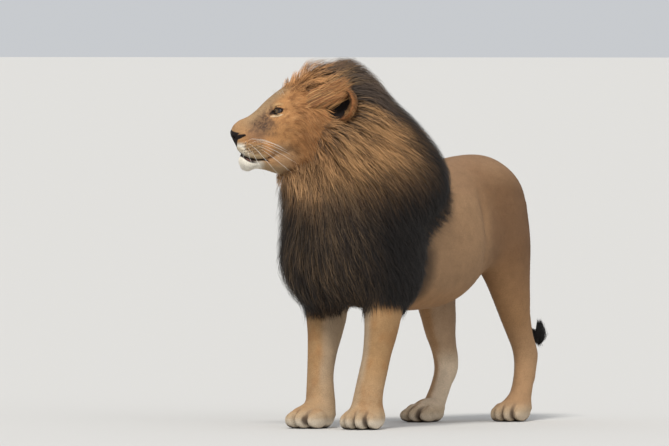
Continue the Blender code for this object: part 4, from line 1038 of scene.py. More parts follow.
    # lips: the edges that meet along the mouth, the dark lower rim
    end = smooth(q[:, 0], 0.206, 0.222)
    f = mix(f, LIPS, smooth(-m, -0.0030, -0.0008) * smooth(m, -0.0050, -0.0030) * end)
    f = mix(f, LIPS, smooth(m, -0.0165, -0.0125) * smooth(-m, -0.001, 0.001) * smooth(q[:, 0], 0.240, 0.285))
    f = mix(f, lin(128, 92, 84), smooth(-np.sqrt(((q[:, 0] - 0.292) / 0.012) ** 2 + ((m + 0.008) / 0.0035) ** 2), -1.1, -0.5) * 0.7)
    # nose leather
    pad = leather(q)
    f = mix(f, NOSE, smooth(pad, -0.0015, 0.0010) * smooth(q[:, 0], 0.27, 0.29))
    f = mix(f, lin(30, 22, 20), smooth(-np.abs(q[:, 1]), -0.0028, -0.0012) * smooth(q[:, 0], 0.30, 0.315) * smooth(-q[:, 2], 0.11, 0.125) * smooth(m, -0.002, 0.002))
    # eye: dark rims, pale below, dark corner streak
    e = np.stack([q[:, 0], ql, q[:, 2]], 1) - np.array(EYE_AT)
    look, sd, up, ef, es, eu = eye_frame(e)
    r = np.sqrt((e ** 2).sum(1))
    gap, a, b = lid_gap(es, eu)
    near = smooth(-r, -0.060, -0.030)
    under = smooth(-np.sqrt(((a - 0.15) / 1.35) ** 2 + ((b + 0.95) / 0.30) ** 2), -1.2, -0.7) * near
    f = mix(f, lin(214, 192, 158), under * 0.75)
    over = smooth(-np.sqrt(((a + 0.1) / 1.3) ** 2 + ((b - 1.25) / 0.45) ** 2), -1.2, -0.6) * near
    f = mix(f, lin(206, 168, 120), over * 0.6)
    rimmed = smooth(-gap, -0.40, -0.22) * near * smooth(-r, -0.034, -0.027)
    f = mix(f, lin(30, 21, 18), rimmed)
    brow = smooth(-np.sqrt(((a - 0.35) / 1.35) ** 2 + ((b - 0.62 + 0.25 * (a - 0.1) ** 2) / 0.13) ** 2), -1.15, -0.7) * near
    f = mix(f, lin(58, 40, 30), brow * 0.8)
    tear = cone(np.stack([q[:, 0], ql, q[:, 2]], 1), np.array(EYE_AT) + look * 0.013 - sd * 0.018 - up * 0.004,
                np.array(EYE_AT) + look * 0.024 - sd * 0.038 - up * 0.022, 0.0055, 0.0030)
    f = mix(f, lin(40, 30, 26), smooth(-tear, -0.004, 0.0) * 0.9)
    c = mix(c, f, hd)
    # ears: ginger outside, a dark back with painted shade behind the ear, painted shade deep in the hollow, pale front
    # edge
    ec, R = ear_axes()
    x = (np.stack([q[:, 0], ql, q[:, 2]], 1) - ec) @ R
    ear = smooth(-ear_local(q), -0.010, -0.003) * smooth(ql, 0.080, 0.100)
    c = mix(c, lin(150, 98, 56), ear * 0.9)
    behind = smooth(-x[:, 0], 0.018, 0.034)
    # back of the ear: its own dark colour, darkened further with painted shade behind the ear
    c = mix(c, lin(40, 32, 28), ear * behind * smooth(x[:, 2], -0.02, 0.02) * 0.7)
    bowl = smooth(-ball(x, (0.014, -0.004, 0.0), (0.045, 0.053, 0.045)), -0.011, -0.004)
    c = mix(c, lin(128, 84, 52), ear * bowl)
    # painted shade: near-black deep in the ear's hollow
    c = mix(c, lin(24, 17, 14), np.maximum(ear, smooth(ql, 0.075, 0.09)) * bowl * smooth(x[:, 2], -0.026, -0.008))
    # under the long hair: the mane's colour darkened to painted shade
    m = smooth(-mane(P), 0.012, 0.030)
    c = mix(c, mane_colour(P, np.full(len(P), 0.5)) * 0.38, m * (1 - ear))
    return np.clip(c * (1 + 0.22 * n + 0.16 * fine)[:, None], 0, 1)


# ---------------------------------------------------------------- the lie of the coat
def flow(P):
    """Which way the hair points at P."""
    q = to_head(P)
    face = at_head(0.19, 0.0, 0.00)
    r = P - face
    away = unit(r)
    dist = np.linalg.norm(r, axis=1)
    long_hair = mane_zone(P)
    s = np.sign(P[:, 0])[:, None]
    # trunk and legs
    back = np.stack([np.zeros(len(P)), np.full(len(P), 0.80), np.full(len(P), -0.50)], 1)
    leg = smooth(-P[:, 2], -0.62, -0.42) * (smooth(-P[:, 1], 0.10, 0.2) + smooth(P[:, 1], 0.10, 0.2))
    leg = np.clip(leg, 0, 1)[:, None]
    down = np.array((0.0, 0.12, -1.0))
    d = back * (1 - leg) + down * leg
    foot = smooth(-P[:, 2], -0.085, -0.05)[:, None]
    d = d * (1 - foot) + np.array((0.0, -0.85, -0.5)) * foot
    tl = smooth(P[:, 1], 0.64, 0.66)[:, None]
    d = d * (1 - tl) + np.array((0.0, 0.1, -1.0)) * tl
    # neck and chest: out from the face, then falling
    crest = smooth(q[:, 2], 0.03, 0.10) * smooth(q[:, 0], -0.05, 0.03)
    centre = at_head(0.10, 0.0, 0.0)[None] * (1 - crest)[:, None] + at_head(0.34, 0.0, 0.00)[None] * crest[:, None]
    away = unit(P - centre)
    fall = np.stack([0.0 * P[:, 0], np.full(len(P), 0.24), np.full(len(P), -1.0)], 1)
    g = 0.18 + 0.75 * smooth(dist, 0.28, 0.66) + 1.6 * smooth(-P[:, 2], -1.00, -0.72)
    m = unit(away + fall * g[:, None])
    near_head = np.clip(smooth(q[:, 0], -0.05, 0.08) * smooth(-dist, -0.40, -0.30), 0, 1)[:, None]
    k = np.maximum(long_hair[:, None], near_head)
    d = d * (1 - k) + m * k
    # face: back from the nose
    nose = unit(P - at_head(0.37, 0.0, -0.07))
    on_face = (smooth(q[:, 0], 0.06, 0.16) * smooth(-dist, -0.30, -0.24))[:, None]
    d = d * (1 - on_face) + nose * on_face
    return unit(d)


def slide(v, n):
    return unit(v - (v * n).sum(1, keepdims=True) * n)


# ---------------------------------------------------------------- meshes of hair
def unwrap(o):
    """The skin's corners, face centres and face normals, from which its map is laid out."""
    me = o.data
    co = corners_of(o)
    n_f = len(me.polygons)
    mid = np.empty(n_f * 3, np.float32)
    me.polygons.foreach_get("center", mid)
    nor = np.empty(n_f * 3, np.float32)
    me.polygons.foreach_get("normal", nor)
    mid = mid.reshape(-1, 3) - SHIFT
    nor = nor.reshape(-1, 3)
    return co, mid, nor


CHARTS = {}


def chart_of(P, N):
    """Number of the chart for each point: a part of the body seen along one of six sides."""
    a = np.abs(N).argmax(1)
    sign = N[np.arange(len(N)), a] > 0
    q = to_head(P)
    part = np.zeros(len(P), int)
    part[(P[:, 2] < 0.46) & (P[:, 1] < -0.1)] = 1
    part[(P[:, 2] < 0.50) & (P[:, 1] > 0.08)] = 2
    part[(P[:, 1] > 0.64)] = 3
    part[(q[:, 0] > -0.10) & (q[:, 2] > -0.30) & (P[:, 2] > 0.85)] = 4
    half = (P[:, 0] > 0) & (part != 4) & (part != 3)
    return ((part * 2 + half) * 6 + a * 2 + sign).astype(int)


def chart_uv(P, N):
    """Place on the unwrap of points P with normals N."""
    c = chart_of(P, N)
    a = (c % 6) // 2
    u = np.where(a == 0, P[:, 1], P[:, 0])
    v = np.where(a == 2, P[:, 1], P[:, 2])
    uv = np.zeros((len(P), 2))
    for k, (lo, at, scale) in CHARTS.items():
        m = c == k
        if m.any():
            uv[m] = (np.stack([u[m], v[m]], 1) - lo) * scale + at
    return np.clip(uv, 0.001, 0.999)


def lay_out_charts(P, N, face_w=1.8):
    """Packs the charts' boxes in rows; the head's are drawn larger."""
    c = chart_of(P, N)
    a = (c % 6) // 2
    u = np.where(a == 0, P[:, 1], P[:, 0])
    v = np.where(a == 2, P[:, 1], P[:, 2])
    boxes = []
    for k in np.unique(c):
        m = c == k
        lo = np.array((u[m].min(), v[m].min())) - 0.004
        hi = np.array((u[m].max(), v[m].max())) + 0.004
        s = face_w if k // 12 == 4 else 1.0
        boxes.append((k, lo, (hi - lo) * s, s))
    boxes.sort(key=lambda b: -b[2][1])
    for scale in np.linspace(0.45, 0.05, 81):
        x = y = row = 0.004
        ok = True
        found = {}
        row = 0.0
        for k, lo, size, s in boxes:
            w, h = size * scale
            if x + w > 0.996:
                x, y, row = 0.004, y + row + 0.004, 0.0
            if y + h > 0.996 or w > 0.99:
                ok = False
                break
            found[k] = (lo, np.array((x, y)), s * scale)
            x += w + 0.004
            row = max(row, h)
        if ok:
            CHARTS.update(found)
            return


def give_skin_uv(o):
    me = o.data
    co, mid, nor = unwrap(o)
    lay_out_charts(mid, nor)
    layer = me.uv_layers.new(name="OFBake")
    start = np.empty(len(me.polygons), np.int32)
    total = np.empty(len(me.polygons), np.int32)
    me.polygons.foreach_get("loop_start", start)
    me.polygons.foreach_get("loop_total", total)
    vert = np.empty(len(me.loops), np.int32)
    me.loops.foreach_get("vertex_index", vert)
    face = np.repeat(np.arange(len(start)), total)
    order = np.argsort(np.repeat(start, total) + (np.arange(len(face)) - np.repeat(np.cumsum(total) - total, total)), kind="stable")
    face = face[order]
    c = chart_of(mid, nor)[face]
    P = co[vert]
    a = (c % 6) // 2
    u = np.where(a == 0, P[:, 1], P[:, 0])
    v = np.where(a == 2, P[:, 1], P[:, 2])
    uv = np.zeros((len(P), 2))
    for k, (lo, at, scale) in CHARTS.items():
        m = c == k
        uv[m] = (np.stack([u[m], v[m]], 1) - lo) * scale + at
    layer.data.foreach_set("uv", np.clip(uv, 0, 1).astype(np.float32).ravel())


def scatter(tri, per_area, rng):
    """Random roots on triangles; per_area gives how many on each square metre at each triangle."""
    area = np.linalg.norm(np.cross(tri[:, 1] - tri[:, 0], tri[:, 2] - tri[:, 0]), axis=1) / 2
    want = area * per_area
    n = np.floor(want + rng.random(len(want))).astype(int)
    i = np.repeat(np.arange(len(tri)), n)
    a, b = rng.random(len(i)), rng.random(len(i))
    f = a + b > 1
    a[f], b[f] = 1 - a[f], 1 - b[f]
    p = tri[i, 0] + (tri[i, 1] - tri[i, 0]) * a[:, None] + (tri[i, 2] - tri[i, 0]) * b[:, None]
    return p, i


def hair_mesh(name, path, out, width, c_root, c_tip, uv, flat=0.5, power=1.3, tip_from=0.5, soft=0.0):
    """Tapering three-sided locks. path is (locks, points, 3); the last point is the tip."""
    n, k, _ = path.shape
    t = np.empty_like(path)
    t[:, 1:-1] = path[:, 2:] - path[:, :-2]
    t[:, 0] = path[:, 1] - path[:, 0]
    t[:, -1] = path[:, -1] - path[:, -2]
    t = unit(t)
    side = unit(np.cross(t, out[:, None, :]))
    up = np.cross(side, t)
    s = np.linspace(0, 1, k)
    prof = (0.75 + 0.5 * np.sin(np.minimum(s * 2.2, 1) * math.pi / 2)) * (1 - s ** power) / 1.15
    w = width[:, None] * prof[None, :]
    rings = k - 1
    V = np.empty((n, rings * 3 + 1, 3))
    for j in range(rings):
        p, b, u, r = path[:, j], side[:, j], up[:, j], w[:, j, None]
        V[:, j * 3] = p + b * r * 0.5
        V[:, j * 3 + 1] = p + u * r * flat * 0.6
        V[:, j * 3 + 2] = p - b * r * 0.5
    V[:, -1] = path[:, -1]
    F = [(0, 1, 2)]
    for j in range(rings - 1):
        a, b = j * 3, j * 3 + 3
        for x in range(3):
            y = (x + 1) % 3
            F += [(a + x, b + x, a + y), (a + y, b + x, b + y)]
    last, tip = (rings - 1) * 3, rings * 3
    F += [(last + x, tip, last + (x + 1) % 3) for x in range(3)]
    F = np.array(F)
    faces = (F[None] + (np.arange(n) * (rings * 3 + 1))[:, None, None]).reshape(-1, 3)
    o = new_mesh(name, V.reshape(-1, 3), faces)
    if soft:
        # the coat takes the light as one soft surface
        own = np.empty(len(o.data.vertices) * 3, np.float32)
        o.data.vertices.foreach_get("normal", own)
        own = own.reshape(-1, 3)
        base = np.repeat(out, rings * 3 + 1, axis=0)
        o.data.normals_split_custom_set_from_vertices(unit(own * (1 - soft) + base * soft))
    lev = np.concatenate([np.repeat(s[:rings], 3), [1.0]])
    m = smooth(lev, tip_from * 0.3, 1.0)
    C = c_root[:, None, :] * (1 - m)[None, :, None] + c_tip[:, None, :] * m[None, :, None]
    paint(o, C.reshape(-1, 3))
    across = np.concatenate([np.tile((0.0, 0.5, 1.0), rings), [0.5]]) - 0.5
    patch = np.stack([across, lev - 0.5], 1) * 0.0030
    U = uv[:, None, :] + patch[None]
    layer = o.data.uv_layers.new(name="OFBake")
    layer.data.foreach_set("uv", U.reshape(-1, 2)[faces.ravel()].astype(np.float32).ravel())
    return o


# ---------------------------------------------------------------- materials
def coat_material(name, rough=0.72, bump=0.0, size=900.0, strength=0.25, sheen=0.0, gain=1.0, vary=0.0):
    m = bpy.data.materials.new(name)
    m.use_nodes = True
    nt = m.node_tree
    b = nt.nodes["Principled BSDF"]
    b.inputs["Roughness"].default_value = rough
    b.inputs["Specular IOR Level"].default_value = strength
    b.inputs["Sheen Weight"].default_value = sheen
    b.inputs["Sheen Roughness"].default_value = 0.5
    at = nt.nodes.new("ShaderNodeAttribute")
    at.attribute_name = "coat"
    src = at.outputs["Color"]
    if vary:
        tc = nt.nodes.new("ShaderNodeTexCoord")
        nz = nt.nodes.new("ShaderNodeTexNoise")
        nz.inputs["Scale"].default_value = size
        nz.inputs["Detail"].default_value = 3.0
        nt.links.new(tc.outputs["Object"], nz.inputs["Vector"])
        rg = nt.nodes.new("ShaderNodeMapRange")
        rg.inputs["From Min"].default_value = 0.3
        rg.inputs["From Max"].default_value = 0.7
        rg.inputs["To Min"].default_value = 1.0 - vary
        rg.inputs["To Max"].default_value = 1.0 + vary
        nt.links.new(nz.outputs["Fac"], rg.inputs["Value"])
        mx = nt.nodes.new("ShaderNodeVectorMath")
        mx.operation = "SCALE"
        nt.links.new(src, mx.inputs[0])
        nt.links.new(rg.outputs["Result"], mx.inputs["Scale"])
        src = mx.outputs["Vector"]
        if bump:
            bp = nt.nodes.new("ShaderNodeBump")
            bp.inputs["Strength"].default_value = bump
            bp.inputs["Distance"].default_value = 0.003
            nt.links.new(nz.outputs["Fac"], bp.inputs["Height"])
            nt.links.new(bp.outputs["Normal"], b.inputs["Normal"])
    nt.links.new(src, b.inputs["Base Color"])
    return m


def plain(name, colour, rough, **more):
    m = bpy.data.materials.new(name)
    m.use_nodes = True
    b = m.node_tree.nodes["Principled BSDF"]
    b.inputs["Base Color"].default_value = (*colour, 1)
    b.inputs["Roughness"].default_value = rough
    for k, v in more.items():
        b.inputs[k].default_value = v
    return m


FLESH = ("head", "neck_mane", "trunk", "tail", "tail_tuft", "ear_left", "ear_right", "foreleg_left", "foreleg_right",
         "fore_paw_left", "fore_paw_right", "hindleg_left", "hindleg_right", "hind_paw_left", "hind_paw_right")
RNG = np.random.default_rng(7)

# ---------------------------------------------------------------- the skin
clock = time.time()
skin = make_skin()
print("skin", len(skin.data.polygons), round(time.time() - clock, 1))
give_skin_uv(skin)
me = skin.data
vn = np.empty(len(me.vertices) * 3, np.float32)
me.vertices.foreach_get("normal", vn)
vn = vn.reshape(-1, 3).astype(float)
vp = corners_of(skin)
paint(skin, coat_colour(vp, vn))
me.materials.append(coat_material("skin_coat", 0.78, bump=0.45, size=330.0, strength=0.18, vary=0.20))
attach(skin, "root")
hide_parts(*FLESH)

me.calc_loop_triangles()
lt = np.empty(len(me.loop_triangles) * 3, np.int32)
me.loop_triangles.foreach_get("vertices", lt)
lt = lt.reshape(-1, 3)
TRI = vp[lt]
MID = TRI.mean(1)
TN = unit(vn[lt].sum(1))
print("painted", round(time.time() - clock, 1))


def roots(per_area, rng=RNG):
    p, i = scatter(TRI, per_area, rng)
    return p, TN[i]


def on_skin(Q):
    """Nearest points on the skin to head-frame points, by the field, with their normals."""
    p = np.array(HEAD_AT) + np.array(Q) @ HEAD_R.T
    p = settle(skin_field, p, 5, 0.02)
    return p, unit(gradient(skin_field, p, 0.001))


def finish_coat(o, mat):
    o.data.materials.append(mat)
    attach(o, "root")
    return o


# ---------------------------------------------------------------- long hair
def length_of(P):
    """Length of the long hair rooted at P."""
    q = to_head(P)
    dist = np.linalg.norm(P - at_head(0.19, 0.0, 0.0), axis=1)
    L = 0.040 + 0.150 * smooth(dist, 0.10, 0.42)
    L = L * (1 + 0.30 * smooth(q[:, 2], 0.06, 0.14) * smooth(q[:, 0], -0.12, 0.0))
    L = L * (0.30 + 0.70 * smooth(-mane(P), 0.004, 0.050))
    return np.clip(L, 0.02, np.maximum(P[:, 2] - 0.405, 0.03))


def grow(P, N, L, steps, depth0=None, lift=1.0):
    """Paths from the roots along the flow, rising from the skin to just under the outer shape."""
    h = (L / steps)[:, None]
    x = P.copy()
    path = [x.copy()]
    F0 = hull(x)
    for k in range(steps):
        s = (k + 1) / steps
        n = unit(gradient(hull, x, 0.004))
        d = slide(flow(x), n)
        x = x + d * h
        F = hull(x)
        want = np.minimum(F0, -0.004) * (1 - s) ** (1.6 * lift) - 0.0030
        move = np.clip(want - F, -h[:, 0] * 0.9, h[:, 0] * 0.9)
        x = x + n * move[:, None]
        path.append(x.copy())
    return np.stack(path, 1)


QM = to_head(MID)
long_zone = mane_zone(MID) * (ear_hollow(QM) > 0.004) * (ear_local(QM) > 0.002)
g_den = 3000 * (long_zone > 0.4)
gp, gn = roots(g_den)
gl = length_of(gp) * 1.1
guide = grow(gp, gn, gl, 8)
past = mane(guide.reshape(-1, 3)).reshape(len(gp), -1) > 0.010
gl = gl * np.clip(np.where(past.any(1), past.argmax(1), 9) / 8.0 + 0.10, 0.22, 1.0)
guide = grow(gp, gn, gl, 8)[:, ::2]
print("guides", len(gp), round(time.time() - clock, 1))
tree = kdtree.KDTree(len(gp))
for i, p in enumerate(gp):
    tree.insert(p, i)
tree.balance()


def children(P, rng, clump=0.55, frizz=0.010, wild=0.08):
    near = np.empty((len(P), 3), int)
    dist = np.empty((len(P), 3))
    for i, p in enumerate(P):
        for j, (co, k, d) in enumerate(tree.find_n(p, 3)):
            near[i, j] = k
            dist[i, j] = d
    w = 1 / (dist + 0.006)
    w /= w.sum(1, keepdims=True)
    rel = (guide[near] - gp[near][:, :, None, :]) * w[:, :, None, None]
    size = (0.75 + 0.45 * rng.random(len(P)))[:, None, None]
    path = P[:, None, :] + rel.sum(1) * size
    K = path.shape[1]
    s = np.linspace(0, 1, K)[None, :, None]
    own = guide[near[:, 0]]
    c = clump * (0.6 + 0.8 * rng.random(len(P)))[:, None, None]
    path = path + (own - path) * np.clip(c * s ** 1.1, 0, 0.92)
    own_length = np.clip(np.linalg.norm(path[:, -1] - path[:, 0], axis=1) / 0.13, 0.15, 1.2)[:, None, None]
    a = rng.normal(0, 1, (len(P), 1, 3)) * frizz * own_length
    b = rng.normal(0, 1, (len(P), 1, 3)) * frizz * 0.6 * own_length
    path = path + a * s ** 1.6 + b * np.sin(s * math.pi * 1.7)
    stray = (rng.random(len(P)) < wild)[:, None, None] * rng.normal(0, 1, (len(P), 1, 3)) * 0.018 * own_length
    path = path + stray * s ** 2
    room = 0.002 + 0.012 * rng.random(len(P)) ** 2
    for k in range(2, K):
        x = path[:, k]
        over = hull(x) - room
        m = over > 0
        if m.any():
            path[m, k] = x[m] - unit(gradient(hull, x[m], 0.004)) * over[m, None]
    return path, near[:, 0]


def mane_piece(name, where, count_per_area, width, rng, clump=0.55, frizz=0.008):
    zone = where(MID) * long_zone
    P, N = roots(count_per_area * zone, rng)
    path, g = children(P, rng, clump, frizz)
    shade = np.clip(0.55 * rng.random(len(P)) + 0.45 * hash3(np.stack([g, g * 0, g * 0], 1), 5), 0, 1)
    shade = (np.argsort(np.argsort(shade)) + 0.5) / len(shade)
    bright = ((0.66 + 0.66 * rng.random(len(P))) * (0.84 + 0.32 * hash3(np.stack([g, g * 0, g * 0], 1), 9)))[:, None]
    near = 0.72 * path[:, 1] + 0.28 * P
    # painted shade: each lock's root darkened, deep in the mane; painted light: its tip brightened
    o = hair_mesh(name, path, N, width * (0.65 + 0.7 * rng.random(len(P))), mane_colour(near, shade) * bright * 0.66,
                  mane_colour(path[:, -2], shade) * bright * 1.16, chart_uv(P, N), soft=0.45)
    print(name, len(P), "locks", len(o.data.polygons), "triangles", round(time.time() - clock, 1))
    return o


m_mane = coat_material("mane_hair", 0.55, strength=0.35, sheen=0.0)
m_fur = coat_material("short_fur", 0.75, strength=0.2)

left = lambda M: (M[:, 0] > 0).astype(float)
right = lambda M: (M[:, 0] <= 0).astype(float)
BANDS = (("crown", 1.12, 2.0, 56000, 0.0023), ("upper", 0.96, 1.12, 48000, 0.0025), ("lower", 0.78, 0.96, 40000, 0.0028), ("hem", 0.0, 0.78, 37000, 0.0031))
for zn, z0, z1, den, wid in BANDS:
    for sn, half in (("left", left), ("right", right)):
        o = mane_piece("mane_%s_%s" % (zn, sn), lambda M: ((M[:, 2] >= z0) & (M[:, 2] < z1)) * half(M), den * (1.0 if sn == "left" else 0.8), wid, RNG)
        finish_coat(o, m_mane)


# ---------------------------------------------------------------- short coat
def short_piece(name, zone, per_area, length, width, lift, rng, rings=2):
    P, N = roots(per_area * zone, rng)
    d = unit(slide(flow(P), N) + rng.normal(0, 0.16, P.shape))
    d = slide(d, N)
    L = (length(P) if callable(length) else np.full(len(P), length)) * (0.7 + 0.6 * rng.random(len(P)))
    W = (width(P) if callable(width) else np.full(len(P), width)) * (0.8 + 0.4 * rng.random(len(P)))
    up = lift * (0.6 + 0.8 * rng.random(len(P)))
    s = np.linspace(0, 1, rings + 1)
    path = np.stack([P - N * 0.0008 + d * (L * t)[:, None] + N * (L * up * math.sin(t * 2.0) / math.sin(2.0) * 1.0)[:, None] * (1.0 if t > 0 else 0)
                     for t in s], 1)
    c = coat_colour(P, N) * (0.80 + 0.38 * rng.random(len(P)))[:, None]
    # painted shade at the roots of the tufts, painted light at their tips
    o = hair_mesh(name, path, N, W, c * 0.88, c * 1.08, chart_uv(P, N), flat=0.45, soft=0.85)
    print(name, len(P), "tufts", len(o.data.polygons), "triangles", round(time.time() - clock, 1))
    return finish_coat(o, m_fur)


on_head = (QM[:, 0] > -0.12) & (QM[:, 2] > -0.30) & (MID[:, 2] > 0.85)
lash = np.sqrt(((np.stack([QM[:, 0], np.abs(QM[:, 1]), QM[:, 2]], 1) - np.array(EYE_AT)) ** 2).sum(1)) < 0.028
nose_zone = (leather(QM) > -0.0010) & (QM[:, 0] > 0.27)
GAP_M = mouth_gap(QM)
mouth_zone = (((np.abs(GAP_M) < 0.005) & (QM[:, 0] > 0.206)) | ((GAP_M < 0.0) & (GAP_M > -0.0155) & (QM[:, 0] > 0.262))) & (QM[:, 2] < -0.13)
EC, ER = ear_axes()
across_ear = ((np.stack([QM[:, 0], np.abs(QM[:, 1]), QM[:, 2]], 1) - EC) @ ER)[:, 2]
bowl_zone = (ear_hollow(QM) < 0.005) & (np.abs(QM[:, 1]) > 0.08) & (across_ear > -0.022)
bare = lash | nose_zone | mouth_zone | bowl_zone | (MID[:, 2] < 0.006)
short = (long_zone < 0.5) & ~bare
face_zone = short & on_head
body_zone = short & ~on_head
fine_len = lambda P: 0.005 + 0.012 * smooth(-to_head(P)[:, 0], -0.24, -0.06) + 0.006 * smooth(-to_head(P)[:, 2], 0.17, 0.2)
fine_wid = lambda P: 0.0011 + 0.0010 * smooth(-to_head(P)[:, 0], -0.26, -0.06)
FUR = [short_piece("fur_face", face_zone * (0.4 + 0.6 * smooth(QM[:, 0], 0.02, 0.12)), 140000, fine_len, fine_wid, 0.16, RNG, 1)]


def cheek_piece():
    """Half-long tufts between the short face and the long hair, lying back and down."""
    z = (on_head & ~bare & (QM[:, 0] < 0.19)) * smooth(-QM[:, 0], -0.185, -0.11) * (1 - smooth(-mane(MID), 0.020, 0.045))
    z = z * (np.linalg.norm(np.stack([QM[:, 0], np.abs(QM[:, 1]), QM[:, 2]], 1) - np.array(EYE_AT), axis=1) > 0.045)
    P, N = roots(26000 * z, RNG)
    q = to_head(P)
    L = (0.012 + 0.030 * smooth(-q[:, 0], -0.17, -0.03)) * (0.7 + 0.6 * RNG.random(len(P)))
    path = [P - N * 0.0008]
    x, kink = P.copy(), RNG.normal(0, 0.10, P.shape)
    for k in range(3):
        n = unit(gradient(skin_field, x, 0.003))
        x = x + slide(unit(slide(flow(x), n) + kink), n) * (L / 3)[:, None]
        x = x - n * (skin_field(x) - (0.0015 + 0.004 * (k + 1) / 3 * smooth(L, 0.01, 0.04)))[:, None]
        path.append(x.copy())
    shade = RNG.random(len(P))
    c = coat_colour(P, N)
    c = mix(c, mane_colour(path[2], shade), 0.35 + 0.5 * smooth(-q[:, 0], -0.12, 0.0)) * (0.85 + 0.30 * RNG.random(len(P)))[:, None]
    c = mix(c, lin(112, 74, 46), (shade > 0.84) * 0.65)
    # painted shade at the roots of the tufts, painted light at their tips
    o = hair_mesh("fur_cheek", np.stack(path, 1), N, 0.0011 + 0.0009 * smooth(L, 0.01, 0.03), c * 0.80, c * 1.10, chart_uv(P, N), flat=0.5, soft=0.7)
    print("cheek", len(P), "tufts", len(o.data.polygons), "triangles", round(time.time() - clock, 1))
    return finish_coat(o, m_fur)


cheek_piece()


def before_ears():
    """Strands rooted before each ear, swept up and back over the front half of its opening."""
    roots_, tips = [], []
    for s in (1, -1):
        for k in range(760):
            f0, u0 = RNG.uniform(-0.015, 0.090), RNG.uniform(0.008, 0.085)
            roots_.append((f0, s * 0.10, u0))
            tips.append((-0.078 + 0.30 * (f0 - 0.02) + RNG.normal(0, 0.007), s * (0.140 - 0.25 * u0 + RNG.normal(0, 0.005)), 0.065 + 0.80 * u0 + RNG.normal(0, 0.005)))
    P, N = on_skin(roots_)
    T = np.array(HEAD_AT) + np.array(tips) @ HEAD_R.T
    T = P + (T - P) * (0.65 + 0.45 * RNG.random(len(P)))[:, None]
    kink = RNG.normal(0, 0.003, P.shape)
    path = []
    for t in np.linspace(0, 1, 6):
        x = P * (1 - t) + T * t + N * 0.008 * math.sin(t * math.pi) + kink * math.sin(t * math.pi * 1.6)
        d = skin_field(x)
        x = x + unit(gradient(skin_field, x, 0.003)) * np.clip((0.0015 + 0.003 * t if t > 0 else -0.003) - d, -0.003 if t == 0 else 0, 0.02)[:, None]
        path.append(x)
    shade = RNG.random(len(P))
    c = mix(np.tile(lin(176, 116, 66), (len(P), 1)), lin(204, 156, 100), (shade > 0.5) * 0.8)
    c = mix(c, lin(84, 54, 36), (shade > 0.86) * 0.8) * (0.8 + 0.4 * RNG.random(len(P)))[:, None]
    # painted shadow: the strands darkened over the ear, a little less towards the tips
    o = hair_mesh("ear_locks", np.stack(path, 1), N, 0.0017 + 0.0010 * RNG.random(len(P)), c * 0.85, c * 0.92, chart_uv(P, N), flat=0.5, soft=0.6)
    print("ear locks", len(P), len(o.data.polygons))
    return finish_coat(o, m_mane)
trunk_zone = body_zone & (MID[:, 2] > 0.47) & (MID[:, 1] < 0.645)
legs_zone = body_zone & (MID[:, 2] <= 0.47)
FUR.append(short_piece("fur_trunk", trunk_zone.astype(float), 24000, 0.015, 0.0017, 0.10, RNG, 1))
FUR.append(short_piece("fur_legs", legs_zone.astype(float) * (1 + 1.5 * (MID[:, 2] < 0.09)), 28000,
                       lambda P: 0.007 + 0.006 * smooth(P[:, 2], 0.06, 0.2), lambda P: 0.0012 + 0.0004 * smooth(P[:, 2], 0.06, 0.2), 0.12, RNG, 1))
tail_zone = body_zone & (MID[:, 2] > 0.02) & (MID[:, 1] >= 0.645) & (np.linalg.norm(MID - np.array((0.0, 0.640, 0.850)), axis=1) > 0.045)
FUR.append(short_piece("fur_tail", tail_zone.astype(float), 26000, 0.016, 0.0024, 0.16, RNG))


before_ears()


# tail tuft: long black locks round the curled end
def tail_tuft():
    P, i = scatter(TRI, 260000 * ((MID[:, 1] > 0.66) & (MID[:, 0] > 0.064) & (MID[:, 2] < 0.352)), RNG)
    N = TN[i]
    line = np.array(((0.062, 0.734, 0.348), (0.080, 0.739, 0.308), (0.102, 0.746, 0.302), (0.111, 0.752, 0.344), (0.096, 0.752, 0.412)))
    path = [P + N * 0.0]
    x = P.copy()
    for k in range(4):
        dd = np.linalg.norm(x[:, None] - line[None], axis=2)
        j = np.clip(dd.argmin(1), 0, len(line) - 2)
        d = unit(line[j + 1] - line[j])
        j2 = np.clip(j + 1, 0, len(line) - 2)
        d = unit(d + unit(line[j2 + 1] - line[j2]) * 0.8)
        x = x + (d + N * 0.60 * (1 if k < 2 else -0.1) + RNG.normal(0, 0.10, x.shape)) * 0.016
        F = tuft(x)
        n = unit(gradient(tuft, x, 0.003))
        x = x - n * np.maximum(F + 0.001, 0)[:, None]
        path.append(x.copy())
    c = np.tile(BLACK, (len(P), 1)) * (0.5 + 0.7 * RNG.random(len(P)))[:, None]
    o = hair_mesh("tuft_hair", np.stack(path, 1), N, np.full(len(P), 0.0028), c, c * 1.3, chart_uv(P, N))
    print("tuft", len(P), len(o.data.polygons))
    return finish_coat(o, m_mane)


tail_tuft()


# ---------------------------------------------------------------- eyes
def eye_material():
    m = bpy.data.materials.new("eye")
    m.use_nodes = True
    nt = m.node_tree
    b = nt.nodes["Principled BSDF"]
    at = nt.nodes.new("ShaderNodeAttribute")
    at.attribute_name = "coat"
    nt.links.new(at.outputs["Color"], b.inputs["Base Color"])
    b.inputs["Roughness"].default_value = 0.06
    b.inputs["Specular IOR Level"].default_value = 0.6
    return m


